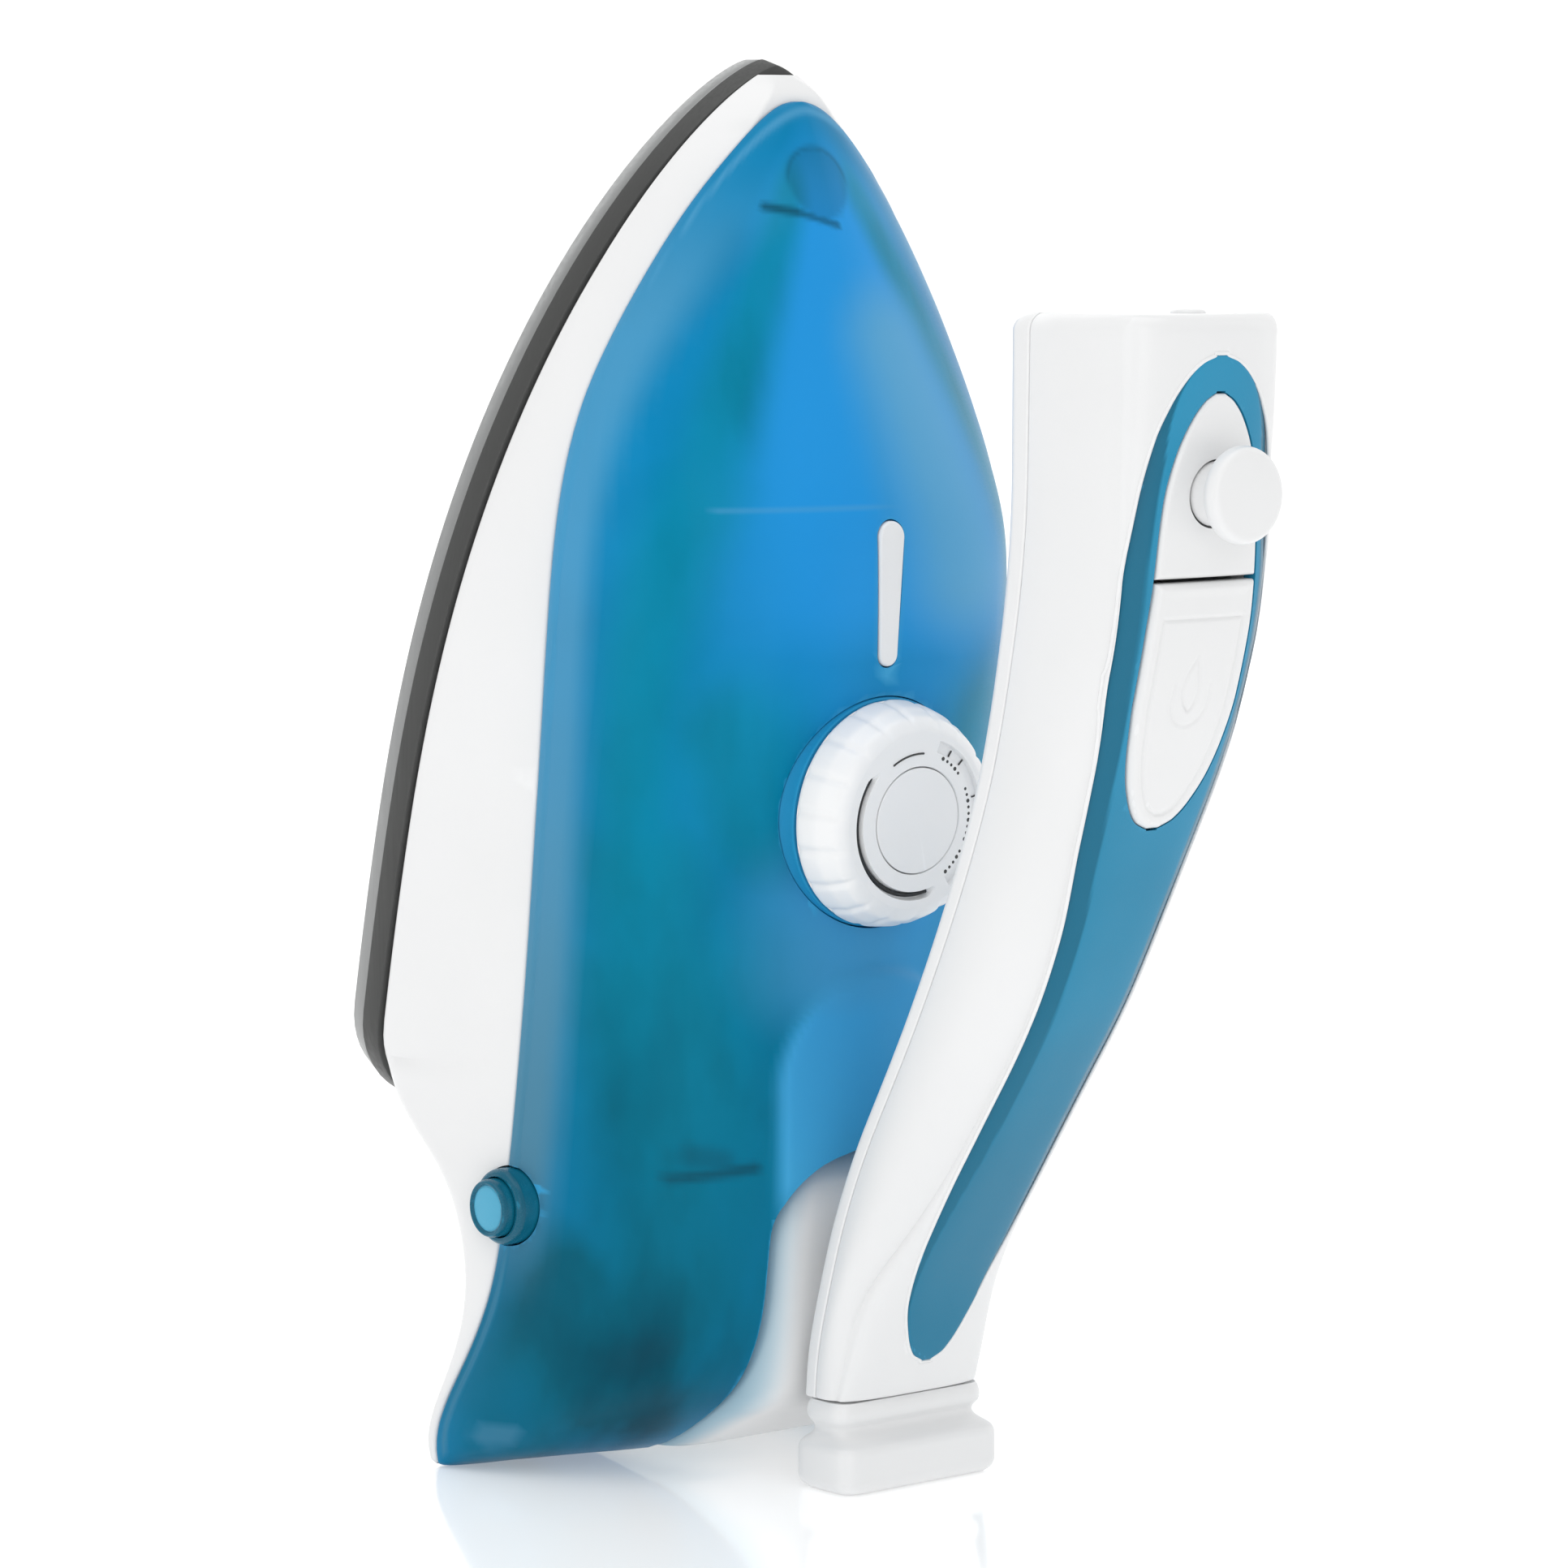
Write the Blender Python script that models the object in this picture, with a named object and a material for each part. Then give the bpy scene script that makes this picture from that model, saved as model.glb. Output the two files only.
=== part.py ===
"""Folding travel steam iron, standing on its heel.

Lengths are in millimetres until world() turns them into metres. A point is (x, out, up):
x is across the iron, out is the distance from the sole toward the handle, up is the height.
"""

import math

import bmesh
import bpy
from mathutils import Matrix, Vector

for old in list(bpy.data.objects):
    bpy.data.objects.remove(old, do_unlink=True)

# ---------------------------------------------------------------- driving dimensions
LEAN = math.radians(14.0)        # the sole leans back from upright by this
TIP_OUT, TIP_UP = -12.0, 211.6   # nose tip of the sole
SOLE_LENGTH = 163.0
SOLE_HALF = 49.5                 # half the width of the sole
SOLE_THICK = 8.0
NOSE_LENGTH = 120.0              # length of the curved part of the sole outline
HEEL_RADIUS = 15.0               # rounding of the two heel corners of the sole
GAP = 0.3                        # clearance between pieces
TANK_WALL = 1.8

PIVOT_OUT, PIVOT_UP = 13.0, 24.0  # fold axis of the handle
KNUCKLE_RADIUS = 5.0
KNUCKLE_HALF = 8.0
PYLON_SQUARE = 7.0              # 2 would make the pylon's section an ellipse
PIN_RADIUS = 1.6

DIAL_OUT, DIAL_UP = 18.9, 99.5   # where the dial axis leaves the tank
DIAL_TILT = math.radians(-4.0)
DIAL_RADIUS = 17.0
DIAL_HEIGHT = 9.0
DIAL_FLUTES = 18
SHAFT_RADIUS = 2.2

KNOB_UP = 149.4
KNOB_BASE, KNOB_FACE = 88.4, 96.9
KNOB_RADIUS, KNOB_NECK = 6.9, 4.5

RELEASE_OUT, RELEASE_UP = -13.6, 41.0  # fold release button on the flank
SPLIT_UP = 137.5                 # line between the front panel and the steam button

FOOT_TOP = 13.2
HANDLE_BOTTOM = 13.5
HANDLE_TOP = 174.1

MID_OUT = (KNOB_FACE + TIP_OUT - SOLE_LENGTH * math.sin(LEAN)) / 2

# ---------------------------------------------------------------- lines the shapes follow
# Each line is a list of (up, value) stations.
TANK_HALF = [
    (0, 47.6), (4, 48.3), (8, 48.2), (13, 47.5), (23, 46.0), (34, 44.6), (49, 43.5), (75, 42.0),
    (105, 40.4), (137, 38.8), (150, 37.8), (160, 35.6), (169, 31.6), (178, 26.4), (188, 19.5),
    (197, 11.6), (202, 6.0), (203.6, 3.2), (204.2, 0.8),
]
JOINT_OUT = [
    (0, -26.6), (4, -26.3), (8, -25.4), (13, -22.8), (18, -20.2), (23, -18.0), (28, -16.4),
    (34, -15.4), (49, -13.9), (75, -12.0), (105, -10.7), (137, -9.2), (160, -6.0), (188, -1.8),
    (204, 0.6), (206.4, -0.8), (208.2, -2.8),
]
TANK_TOP = [
    (0, -20.0), (3, -2.0), (8, 6.6), (14, 13.5), (27, 18.0), (47, 19.0), (79, 18.4), (99.5, 18.9),
    (121, 20.9), (142, 21.8), (152, 19.6), (162, 16.4), (175, 12.2), (188, 8.2), (198, 4.6),
    (204, 1.4), (204.2, 1.2),
]
TANK_ROUND = [(0, 2.0), (60, 2.0), (99, 2.2), (135, 2.5), (150, 2.1), (165, 1.8), (204.2, 1.7)]
PYLON_HALF = [
    (3, 22.6), (6.5, 21.6), (11, 20.4), (14, 19.7), (20, 18.8), (27, 18.3), (38, 17.7), (43, 15.9),
    (46, 13.2), (48.2, 9.4), (49.4, 5.0),
]
PYLON_OUT = [
    (3, -1.8), (4.5, 1.8), (6.5, 5.6), (9, 10.0), (11, 14.6), (14, 16.2), (27, 17.2), (38, 17.6),
    (43, 17.0), (46, 15.2), (48.2, 12.0), (49.4, 8.0),
]
HEEL_SECTIONS = [  # up, back half width, back out, side half width, side out
    (0, 45.0, -28.5, 48.0, -27.6), (1, 46.0, -29.5, 48.6, -27.9), (4, 46.6, -30.0, 48.9, -28.2),
    (8, 46.6, -29.0, 48.8, -27.2), (13, 46.2, -26.8, 48.3, -25.0), (18, 45.6, -24.6, 47.8, -23.0),
    (23, 45.0, -23.2, 47.4, -21.6), (28, 44.6, -22.8, 47.1, -21.2), (33, 44.5, -23.6, 47.0, -21.8),
    (38, 44.0, -25.6, 46.9, -23.5), (42, 43.0, -28.6, 46.8, -26.0), (46, 41.0, -33.0, 46.8, -29.5),
    (49, 38.0, -38.5, 46.8, -33.0), (51.5, 37.0, -42.0, 47.0, -35.5), (55, 43.0, -41.7, 47.4, -38.0),
    (60, 46.6, -40.5, 48.0, -38.9),
]
HANDLE_IN = [
    (13, 18.2), (20, 19.2), (28.6, 21.6), (40, 25.2), (51.5, 30.2), (62, 36.0), (72, 41.4),
    (87, 48.6), (99, 53.6), (110, 57.3), (125, 60.6), (138, 62.6), (150, 63.4), (174.2, 63.4),
]
HANDLE_HALF = [(13, 14.2), (28, 14.8), (60, 15.0), (174.2, 15.0)]
CORNER_HALF = [
    (13, 13.4), (19, 13.2), (29, 12.4), (40, 10.2), (50, 9.2), (63, 9.0), (75, 9.2), (86, 9.8),
    (100, 11.5), (110, 12.6), (125, 13.7), (137, 13.9), (150, 14.1), (174.2, 14.4),
]
CROWN_OUT = [
    (13, 27.6), (19, 30.0), (29, 34.0), (40, 41.0), (50, 48.0), (63, 56.9), (75, 64.8), (86, 70.4),
    (100, 76.4), (110, 80.6), (121, 84.4), (137, 88.0), (149, 89.0), (163, 90.4), (174.2, 91.0),
]
CROWN_RISE = [
    (13, 2.6), (19, 3.4), (29, 4.4), (40, 3.2), (50, 2.6), (75, 2.4), (100, 2.8), (125, 3.4),
    (137, 4.0), (150, 5.0), (174.2, 7.0),
]
INLAY_HALF = [
    (18.8, 0.8), (20, 2.9), (24, 5.2), (29, 6.8), (40, 8.2), (50, 8.5), (63, 8.5), (75, 8.8),
    (86, 9.4), (100, 11.1), (110, 12.2), (125, 13.4), (137, 13.5), (148, 12.5), (157, 10.7),
    (162, 8.5), (165.5, 5.9), (167.6, 3.2), (168.4, 0.9),
]
PANEL_HALF = [
    (102.0, 1.2), (103.0, 3.4), (105.5, 5.6), (110, 7.8), (115, 9.0), (121, 9.7), (130, 9.8),
    (137, 9.5), (143, 9.2), (149, 8.6), (155, 7.1), (159.5, 4.9), (162.2, 2.6), (163.2, 0.9),
]

# ---------------------------------------------------------------- looks
WHITE = ((0.90, 0.90, 0.91), 0.28, 0.0)
TANK_BLUE = ((0.03, 0.27, 0.62), 0.30, 0.0)
GRIP_BLUE = ((0.07, 0.33, 0.55), 0.42, 0.0)
ALUMINIUM = ((0.42, 0.43, 0.44), 0.35, 0.9)
STEEL = ((0.55, 0.56, 0.58), 0.30, 1.0)
SHEET = ((0.62, 0.62, 0.60), 0.40, 1.0)
BRASS = ((0.72, 0.55, 0.26), 0.30, 1.0)
PALE = ((0.78, 0.76, 0.70), 0.50, 0.0)
CERAMIC = ((0.85, 0.83, 0.78), 0.45, 0.0)
AMBER = ((0.80, 0.30, 0.08), 0.15, 0.0)
RUBBER = ((0.80, 0.80, 0.80), 0.65, 0.0)


# ---------------------------------------------------------------- helpers
def curve(stations, up):
    """Value of a line at a height, smooth between stations and never beyond them."""
    if up <= stations[0][0]:
        return stations[0][1]
    if up >= stations[-1][0]:
        return stations[-1][1]
    steps = [b[0] - a[0] for a, b in zip(stations, stations[1:])]
    rates = [(b[1] - a[1]) / (b[0] - a[0]) for a, b in zip(stations, stations[1:])]
    k = max(i for i, s in enumerate(stations[:-1]) if s[0] <= up)

    def slope(i):
        if i == 0 or i == len(rates):
            return rates[min(i, len(rates) - 1)]
        if rates[i - 1] * rates[i] <= 0:
            return 0.0
        return 2 * rates[i - 1] * rates[i] / (rates[i - 1] + rates[i])

    t = (up - stations[k][0]) / steps[k]
    low, high = stations[k][1], stations[k + 1][1]
    bend_low = slope(k) * steps[k]
    bend_high = slope(k + 1) * steps[k]
    return (
        low * (1 + 2 * t) * (1 - t) ** 2
        + bend_low * t * (1 - t) ** 2
        + high * t * t * (3 - 2 * t)
        + bend_high * t * t * (t - 1)
    )


def world(point):
    """(x, out, up) in millimetres to the part's frame in metres."""
    x, out, up = point
    return Vector((x, MID_OUT - out, up)) * 0.001


def on_sole(x, along, off):
    """(x, distance from the nose along the sole, distance off the sole) to (x, out, up)."""
    out = TIP_OUT + off * math.cos(LEAN) - along * math.sin(LEAN)
    up = TIP_UP - along * math.cos(LEAN) - off * math.sin(LEAN)
    return (x, out, up)


def sole_half(along):
    """Half the width of the sole outline at a distance from the nose."""
    if along <= 0:
        return 0.0
    if along < NOSE_LENGTH:
        left = 1 - along / NOSE_LENGTH
        return SOLE_HALF * (1 - left**2.3) ** 0.719
    side = SOLE_HALF - 0.9 * ((along - NOSE_LENGTH) / 35) ** 2
    corner = along - (SOLE_LENGTH - HEEL_RADIUS)
    if corner <= 0:
        return side
    corner = min(corner, HEEL_RADIUS)
    return side - HEEL_RADIUS + math.sqrt(HEEL_RADIUS**2 - corner**2)


def sheet_look(name, look):
    colour, rough, metal = look
    material = bpy.data.materials.new(name)
    material.use_nodes = True
    shader = material.node_tree.nodes["Principled BSDF"]
    shader.inputs["Base Color"].default_value = (*colour, 1.0)
    shader.inputs["Roughness"].default_value = rough
    shader.inputs["Metallic"].default_value = metal
    return material


def finish(name, bm, look):
    bmesh.ops.remove_doubles(bm, verts=bm.verts, dist=2e-6)
    bmesh.ops.triangulate(bm, faces=bm.faces)
    bmesh.ops.recalc_face_normals(bm, faces=bm.faces)
    mesh = bpy.data.meshes.new(name)
    bm.to_mesh(mesh)
    bm.free()
    mesh.shade_smooth()
    mesh.set_sharp_from_angle(angle=math.radians(32))
    mesh.materials.append(sheet_look(name, look))
    made = bpy.data.objects.new(name, mesh)
    bpy.context.scene.collection.objects.link(made)
    return made


def loft(name, rings, look=PALE):
    """A closed body through rings of (x, out, up) points, all with the same count."""
    bm = bmesh.new()
    rows = [[bm.verts.new(world(p)) for p in ring] for ring in rings]
    count = len(rows[0])
    for low, high in zip(rows, rows[1:]):
        for i in range(count):
            j = (i + 1) % count
            bm.faces.new((low[i], low[j], high[j], high[i]))
    bm.faces.new(rows[0])
    bm.faces.new(rows[-1])
    return finish(name, bm, look)


def mirrored(half, up):
    """A ring at one height from its points at x >= 0, back centre to front centre."""
    right = [(x, out, up) for x, out in half]
    left = [(-x, out, up) for x, out in reversed(half) if x > 1e-6]
    return right + left


def turned(name, profile, base, axis, look=PALE, sides=24, flutes=0, flute_rows=()):
    """A body turned about an axis through base. The profile is a closed loop of (radius, along)."""
    direction = Vector(axis).normalized()
    start = world(base)
    side = direction.orthogonal().normalized()
    other = direction.cross(side)
    bm = bmesh.new()
    columns = []
    for k in range(sides):
        angle = 2 * math.pi * k / sides
        ray = side * math.cos(angle) + other * math.sin(angle)
        column = []
        for row, (radius, along) in enumerate(profile):
            grown = radius
            if flutes and row in flute_rows:
                grown -= 0.35 * (0.5 - 0.5 * math.cos(flutes * angle)) ** 4
            column.append(bm.verts.new(start + (ray * grown + direction * along) * 0.001))
        columns.append(column)
    count = len(profile)
    for k in range(sides):
        here = columns[k]
        there = columns[(k + 1) % sides]
        for i in range(count):
            j = (i + 1) % count
            bm.faces.new((here[i], here[j], there[j], there[i]))
    return finish(name, bm, look)


def rod(name, radius, start, end, look=PALE, sides=16):
    """A plain cylinder between two (x, out, up) points."""
    axis = world(end) - world(start)
    length = axis.length * 1000
    profile = [(0.0, 0.0), (radius, 0.0), (radius, length), (0.0, length)]
    direction = axis.normalized()
    side = direction.orthogonal().normalized()
    other = direction.cross(side)
    bm = bmesh.new()
    rows = []
    for along in (0.0, profile[2][1]):
        row = []
        for k in range(sides):
            angle = 2 * math.pi * k / sides
            ray = side * math.cos(angle) + other * math.sin(angle)
            row.append(bm.verts.new(world(start) + (ray * radius + direction * along) * 0.001))
        rows.append(row)
    for k in range(sides):
        j = (k + 1) % sides
        bm.faces.new((rows[0][k], rows[0][j], rows[1][j], rows[1][k]))
    bm.faces.new(rows[0])
    bm.faces.new(rows[1])
    return finish(name, bm, look)


def tube(name, path, radius, look=STEEL, sides=6):
    """A round wire along a path of (x, out, up) points."""
    points = [world(p) for p in path]
    bm = bmesh.new()
    rows = []
    side = None
    for k, point in enumerate(points):
        ahead = points[min(k + 1, len(points) - 1)] - points[max(k - 1, 0)]
        ahead.normalize()
        if side is None:
            side = ahead.orthogonal().normalized()
        side = (side - ahead * side.dot(ahead)).normalized()
        other = ahead.cross(side)
        row = []
        for i in range(sides):
            angle = 2 * math.pi * i / sides
            ray = side * math.cos(angle) + other * math.sin(angle)
            row.append(bm.verts.new(point + ray * radius * 0.001))
        rows.append(row)
    for low, high in zip(rows, rows[1:]):
        for i in range(sides):
            j = (i + 1) % sides
            bm.faces.new((low[i], low[j], high[j], high[i]))
    bm.faces.new(rows[0])
    bm.faces.new(rows[-1])
    return finish(name, bm, look)


def spring(name, start, end, radius, wire, turns):
    """A coil between two (x, out, up) points."""
    first = Vector(start)
    axis = Vector(end) - first
    side = axis.orthogonal().normalized()
    other = axis.normalized().cross(side)
    steps = turns * 8
    path = []
    for k in range(steps + 1):
        angle = 2 * math.pi * k / 8
        at = first + axis * (k / steps)
        at += (side * math.cos(angle) + other * math.sin(angle)) * radius
        path.append(tuple(at))
    return tube(name, path, wire, STEEL, 4)


def slab(name, outline, low, high, look=PALE):
    """A plate of (x, along) outline points between two distances off the sole."""
    rings = [[on_sole(x, along, off) for x, along in outline] for off in (low, high)]
    return loft(name, rings, look)


def combine(target, tool, operation):
    """Boolean of target with tool, baked into target. The tool is removed."""
    step = target.modifiers.new("step", "BOOLEAN")
    step.operation = operation
    step.solver = "EXACT"
    step.object = tool
    graph = bpy.context.evaluated_depsgraph_get()
    baked = bpy.data.meshes.new_from_object(target.evaluated_get(graph))
    target.modifiers.clear()
    target.data = baked
    target.data.name = target.name
    bpy.data.objects.remove(tool, do_unlink=True)
    return target


def cut(target, tool):
    return combine(target, tool, "DIFFERENCE")


def join(target, tool):
    return combine(target, tool, "UNION")


def heights(stations, low, high, most=9.0):
    """The stations' heights between two limits, with extra rows where they are far apart."""
    inside = [s[0] for s in stations if low < s[0] < high]
    marks = sorted({low, high, *inside})
    rows = [marks[0]]
    for a, b in zip(marks, marks[1:]):
        parts = max(1, math.ceil((b - a) / most))
        rows += [a + (b - a) * (k + 1) / parts for k in range(parts)]
    return rows


# ---------------------------------------------------------------- soleplate and what sits on it
def sole_outline(inset):
    """Outline points (x, along) of the sole, moved inwards by inset."""
    marks = [0.15, 0.8, 2.2, 4.5, 8, 13, 20, 29, 40, 53, 68, 84, 101, 119, 134, 148]
    half = [(0.0, 0.0)] + [(sole_half(m), m) for m in marks]
    corner = SOLE_LENGTH - HEEL_RADIUS
    for k in range(1, 6):
        turn = math.radians(18 * k)
        along = corner + HEEL_RADIUS * math.sin(turn)
        half.append((sole_half(along), along))
    right = []
    for k, (x, along) in enumerate(half):
        if k == 0:
            right.append((0.0, along + inset))
            continue
        ahead = half[min(k + 1, len(half) - 1)]
        behind = half[k - 1]
        run = Vector((ahead[0] - behind[0], ahead[1] - behind[1])).normalized()
        if k == len(half) - 1:
            run = Vector((-1.0, 0.0))
        right.append((max(x - inset * run.y, 0.05), along + inset * run.x))
    left = [(-x, along) for x, along in reversed(right) if x > 1e-6]
    return right + left


sole_rings = []
for off, inset in ((0.0, 1.1), (0.6, 0.5), (4.4, 0.0), (SOLE_THICK, 0.3)):
    sole_rings.append([on_sole(x, along, off) for x, along in sole_outline(inset)])
soleplate = loft("soleplate", sole_rings, ALUMINIUM)
for along, spread in ((26, 9), (48, 21), (72, 28), (98, 31), (124, 30)):
    for x in (-spread, spread):
        vent = rod("vent", 1.4, on_sole(x, along, -2.0), on_sole(x, along, SOLE_THICK + 2), sides=10)
        cut(soleplate, vent)

element_path = [(-23, 146), (-23, 90), (-21.5, 74), (-18, 62), (-12, 54), (-4.5, 50.5)]
element_path += [(-x, along) for x, along in reversed(element_path)]
element_line = [on_sole(x, along, SOLE_THICK + GAP + 3.0) for x, along in element_path]
tube("heating_element", element_line, 3.0, STEEL, 10)

cover = [(-12, 66), (12, 66), (15, 74), (15, 122), (-15, 122), (-15, 74)]
slab("steam_chamber_cover", cover, SOLE_THICK + GAP, SOLE_THICK + GAP + 2.6, SHEET)
box = [(-9, 100), (9, 100), (9, 118), (-9, 118)]
slab("thermostat", box, SOLE_THICK + 3.2, SOLE_THICK + 8.6, CERAMIC)
box = [(-11, 127), (11, 127), (11, 141), (-11, 141)]
slab("terminal_block", box, SOLE_THICK + GAP, SOLE_THICK + 6.0, CERAMIC)
rod(
    "thermal_fuse",
    1.8,
    on_sole(17.7, 84, SOLE_THICK + GAP + 1.8),
    on_sole(17.7, 100, SOLE_THICK + GAP + 1.8),
    STEEL,
    12,
)
shield = [
    (-19, 56), (19, 56), (30, 72), (38, 92), (42, 116), (42, 140), (36, 152), (-36, 152), (-42, 140),
    (-42, 116), (-38, 92), (-30, 72),
]
heat_shield = slab("heat_shield", shield, 15.0, 15.7, SHEET)
cut(heat_shield, slab("tool", [(-10.5, 98.5), (10.5, 98.5), (10.5, 119.5), (-10.5, 119.5)], 13, 18))


def screw(name, base, axis, shank):
    """Pan-head screw with its head at base, the shank running along axis."""
    profile = [(0.0, -1.6), (1.5, -1.6), (2.6, -0.9), (2.8, 0.0), (1.3, 0.0), (1.3, shank), (0.0, shank)]
    return turned(name, profile, base, axis, STEEL, 12)


# ---------------------------------------------------------------- skirt
def skirt_half(up):
    """Half section of the skirt at a height: back half width and out, side half width and out."""
    if up <= HEEL_SECTIONS[-1][0]:
        values = []
        for k in range(1, 5):
            values.append(curve([(s[0], s[k]) for s in HEEL_SECTIONS], up))
        return values
    off = SOLE_THICK + GAP
    along = (TIP_UP - up - off * math.sin(LEAN)) / math.cos(LEAN)
    out = TIP_OUT + off * math.cos(LEAN) - along * math.sin(LEAN)
    half = sole_half(along)
    share = min(1.0, half / 30)
    return [half - 0.8 * share, out, half - 0.2 * share, out + 1.6 * share]


def skirt_front(up):
    """Half width and out of the face that the tank sits on."""
    half = curve(TANK_HALF, up)
    if up > 200:
        half = curve([(200, 8.6), (204, 5.4), (206.4, 3.4), (208.2, 1.0)], up)
    return half + 0.15, curve(JOINT_OUT, up) - GAP


def skirt_ring(up):
    back_half, back_out, side_half, side_out = skirt_half(up)
    front_half, front_out = skirt_front(up)
    middle = (0.5 * (side_half + front_half) + 0.25, 0.5 * (side_out + front_out))
    half = [
        (0.0, back_out), (0.5 * back_half, back_out), (back_half, back_out), (side_half, side_out),
        middle, (front_half, front_out), (0.5 * front_half, front_out), (0.0, front_out),
    ]
    return mirrored(half, up)


def skirt_hollow(up):
    """Half section of the space inside the skirt, open toward the sole."""
    back_half, back_out, side_half, side_out = skirt_half(up)
    front_half, front_out = skirt_front(up)
    half = [
        (0.0, back_out - 4), (back_half - 2.6, back_out - 4), (side_half - 3.0, side_out + 1.0),
        (front_half - 3.0, front_out - 2.2), (0.0, front_out - 2.2),
    ]
    return mirrored(half, up)


skirt_rows = heights(HEEL_SECTIONS, 0, 60) + [66, 74, 83, 93, 104, 116, 128, 140, 151, 161, 170, 178]
skirt_rows += [185, 191, 196, 200, 203, 205, 206.6, 207.6, 208.1]
skirt = loft("skirt", [skirt_ring(up) for up in skirt_rows], WHITE)
hollow_rows = [57.5, 66, 80, 98, 116, 138, 160, 176, 188]
cut(skirt, loft("tool", [skirt_hollow(up) for up in hollow_rows]))


# ---------------------------------------------------------------- pylon that carries the handle
def pylon_ring(up, grow):
    """Rounded section of the pylon, standing on the skirt's front face."""
    half = curve(PYLON_HALF, up) + grow
    front = curve(PYLON_OUT, up) + grow
    back = curve(JOINT_OUT, up) + 0.2 - grow
    points = [(0.0, back), (half, back)]
    depth = front - back
    for turn in (0, 12, 26, 42, 58, 74, 90):
        angle = math.radians(turn)
        x = half * math.cos(angle) ** (2 / PYLON_SQUARE)
        out = back + depth * (0.25 + 0.75 * math.sin(angle) ** (2 / PYLON_SQUARE))
        points.append((x if turn < 90 else 0.0, out))
    return mirrored(points, up)


def pylon_notch(name, grow):
    """The room that the pylon takes from its neighbours, open toward the handle."""
    rings = []
    for up in (-6.0, *heights(PYLON_HALF, 3, 49.4, 7), 49.4 + grow):
        half = curve(PYLON_HALF, up) + grow
        if up > 49.4:
            half *= 0.8
        back = curve(JOINT_OUT, up) - 1.5
        rings.append([(-half, back, up), (half, back, up), (half, 40.0, up), (-half, 40.0, up)])
    return loft(name, rings)


pylon = loft("pylon", [pylon_ring(up, 0.0) for up in heights(PYLON_HALF, 3, 49.4, 7)], WHITE)
slot = 2 * (KNUCKLE_HALF + 0.4)
pocket = [
    (-slot / 2, 5.0), (slot / 2, 5.0), (slot / 2, 30.0), (-slot / 2, 30.0),
]
pocket_low = [(x, out, 16.0) for x, out in pocket]
pocket_high = [(x, out, 34.0) for x, out in pocket]
cut(pylon, loft("tool", [pocket_low, pocket_high]))
cut(
    pylon,
    rod("tool", PIN_RADIUS + 0.15, (-14.2, PIVOT_OUT, PIVOT_UP), (14.2, PIVOT_OUT, PIVOT_UP), sides=16),
)
rod("hinge_pin", PIN_RADIUS, (-14.0, PIVOT_OUT, PIVOT_UP), (14.0, PIVOT_OUT, PIVOT_UP), STEEL, 16)


# ---------------------------------------------------------------- water tank
def tank_half(up, inset):
    """Half section of the tank: from its rim on the skirt to the ridge."""
    half = curve(TANK_HALF, up) - inset
    foot = curve(JOINT_OUT, up)
    top = curve(TANK_TOP, up) - inset
    power = 2 / curve(TANK_ROUND, up)
    points = []
    for turn in (0, 8, 17, 27, 38, 50, 63, 76, 90):
        angle = math.radians(turn)
        x = half * math.cos(angle) ** power
        out = foot + (top - foot) * math.sin(angle) ** power
        points.append((x if turn < 90 else 0.0, out))
    return points


def tank_ring(up, inset=0.0, below=0.0):
    points = tank_half(up, inset)
    foot = points[0][1]
    half = [(0.0, foot - below), (0.5 * points[0][0], foot - below)]
    if below:
        half.append((points[0][0], foot - below))
    return mirrored(half + points, up)


tank_rows = [0, 1.2, 3, 5.5, 9, 14, 20, 27, 36, 47, 58, 69, 80, 91, 102, 113, 124, 134, 143, 151, 158]
tank_rows += [165, 172, 179, 186, 192, 197, 200.5, 202.6, 203.7, 204.1]
water_tank = loft("water_tank", [tank_ring(up) for up in tank_rows], TANK_BLUE)
space_rows = [7, 14, 27, 47, 69, 91, 113, 134, 151, 165, 179, 190, 198]
space = loft("tool", [tank_ring(up, TANK_WALL, 4.0) for up in space_rows])
cut(space, pylon_notch("tool2", 2.0))
cut(water_tank, space)
cut(water_tank, pylon_notch("tool", 0.35))


def floor_ring(up):
    half = curve(TANK_HALF, up) - TANK_WALL - 0.5
    low = curve(JOINT_OUT, up) + 0.1
    points = [(0.0, low), (0.5 * half, low), (half, low), (half - 0.3, low + 1.5), (0.0, low + 1.5)]
    return mirrored(points, up)


tank_floor = loft("tank_floor", [floor_ring(up) for up in (8, *space_rows[1:-2], 186)], WHITE)
cut(tank_floor, pylon_notch("tool", 2.4))

# ---------------------------------------------------------------- thermostat dial
dial_base = (0.0, DIAL_OUT, DIAL_UP)
dial_axis = (0.0, -math.cos(DIAL_TILT), math.sin(DIAL_TILT))


def along_dial(distance):
    """Point on the dial axis at a distance out from the tank."""
    return (0.0, DIAL_OUT + distance * math.cos(DIAL_TILT), DIAL_UP + distance * math.sin(DIAL_TILT))


def ring_profile(inner, outer, low, high):
    return [(inner, low), (outer, low), (outer, high), (inner, high)]


cut(water_tank, turned("tool", ring_profile(0.0, 16.1, -9.0, 6.0), dial_base, dial_axis, sides=32))
seat = [
    (3.2, -1.2), (14.0, -1.2), (14.0, -5.4), (15.8, -5.4), (15.8, 0.2), (15.2, 0.6), (3.2, 0.6),
]
turned("dial_seat", seat, dial_base, dial_axis, TANK_BLUE, 32)
shaft_low = along_dial(-39.6)
shaft_high = along_dial(5.6)
rod("thermostat_shaft", SHAFT_RADIUS, shaft_low, shaft_high, STEEL, 14)
cut(skirt, rod("tool", 3.0, along_dial(-40), along_dial(-20), sides=16))
cut(tank_floor, rod("tool", 4.9, along_dial(-40), along_dial(-20), sides=20))
turned("shaft_tunnel", ring_profile(2.9, 4.4, -28.2, -1.8), dial_base, dial_axis, WHITE, 20)
face = DIAL_HEIGHT
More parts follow.
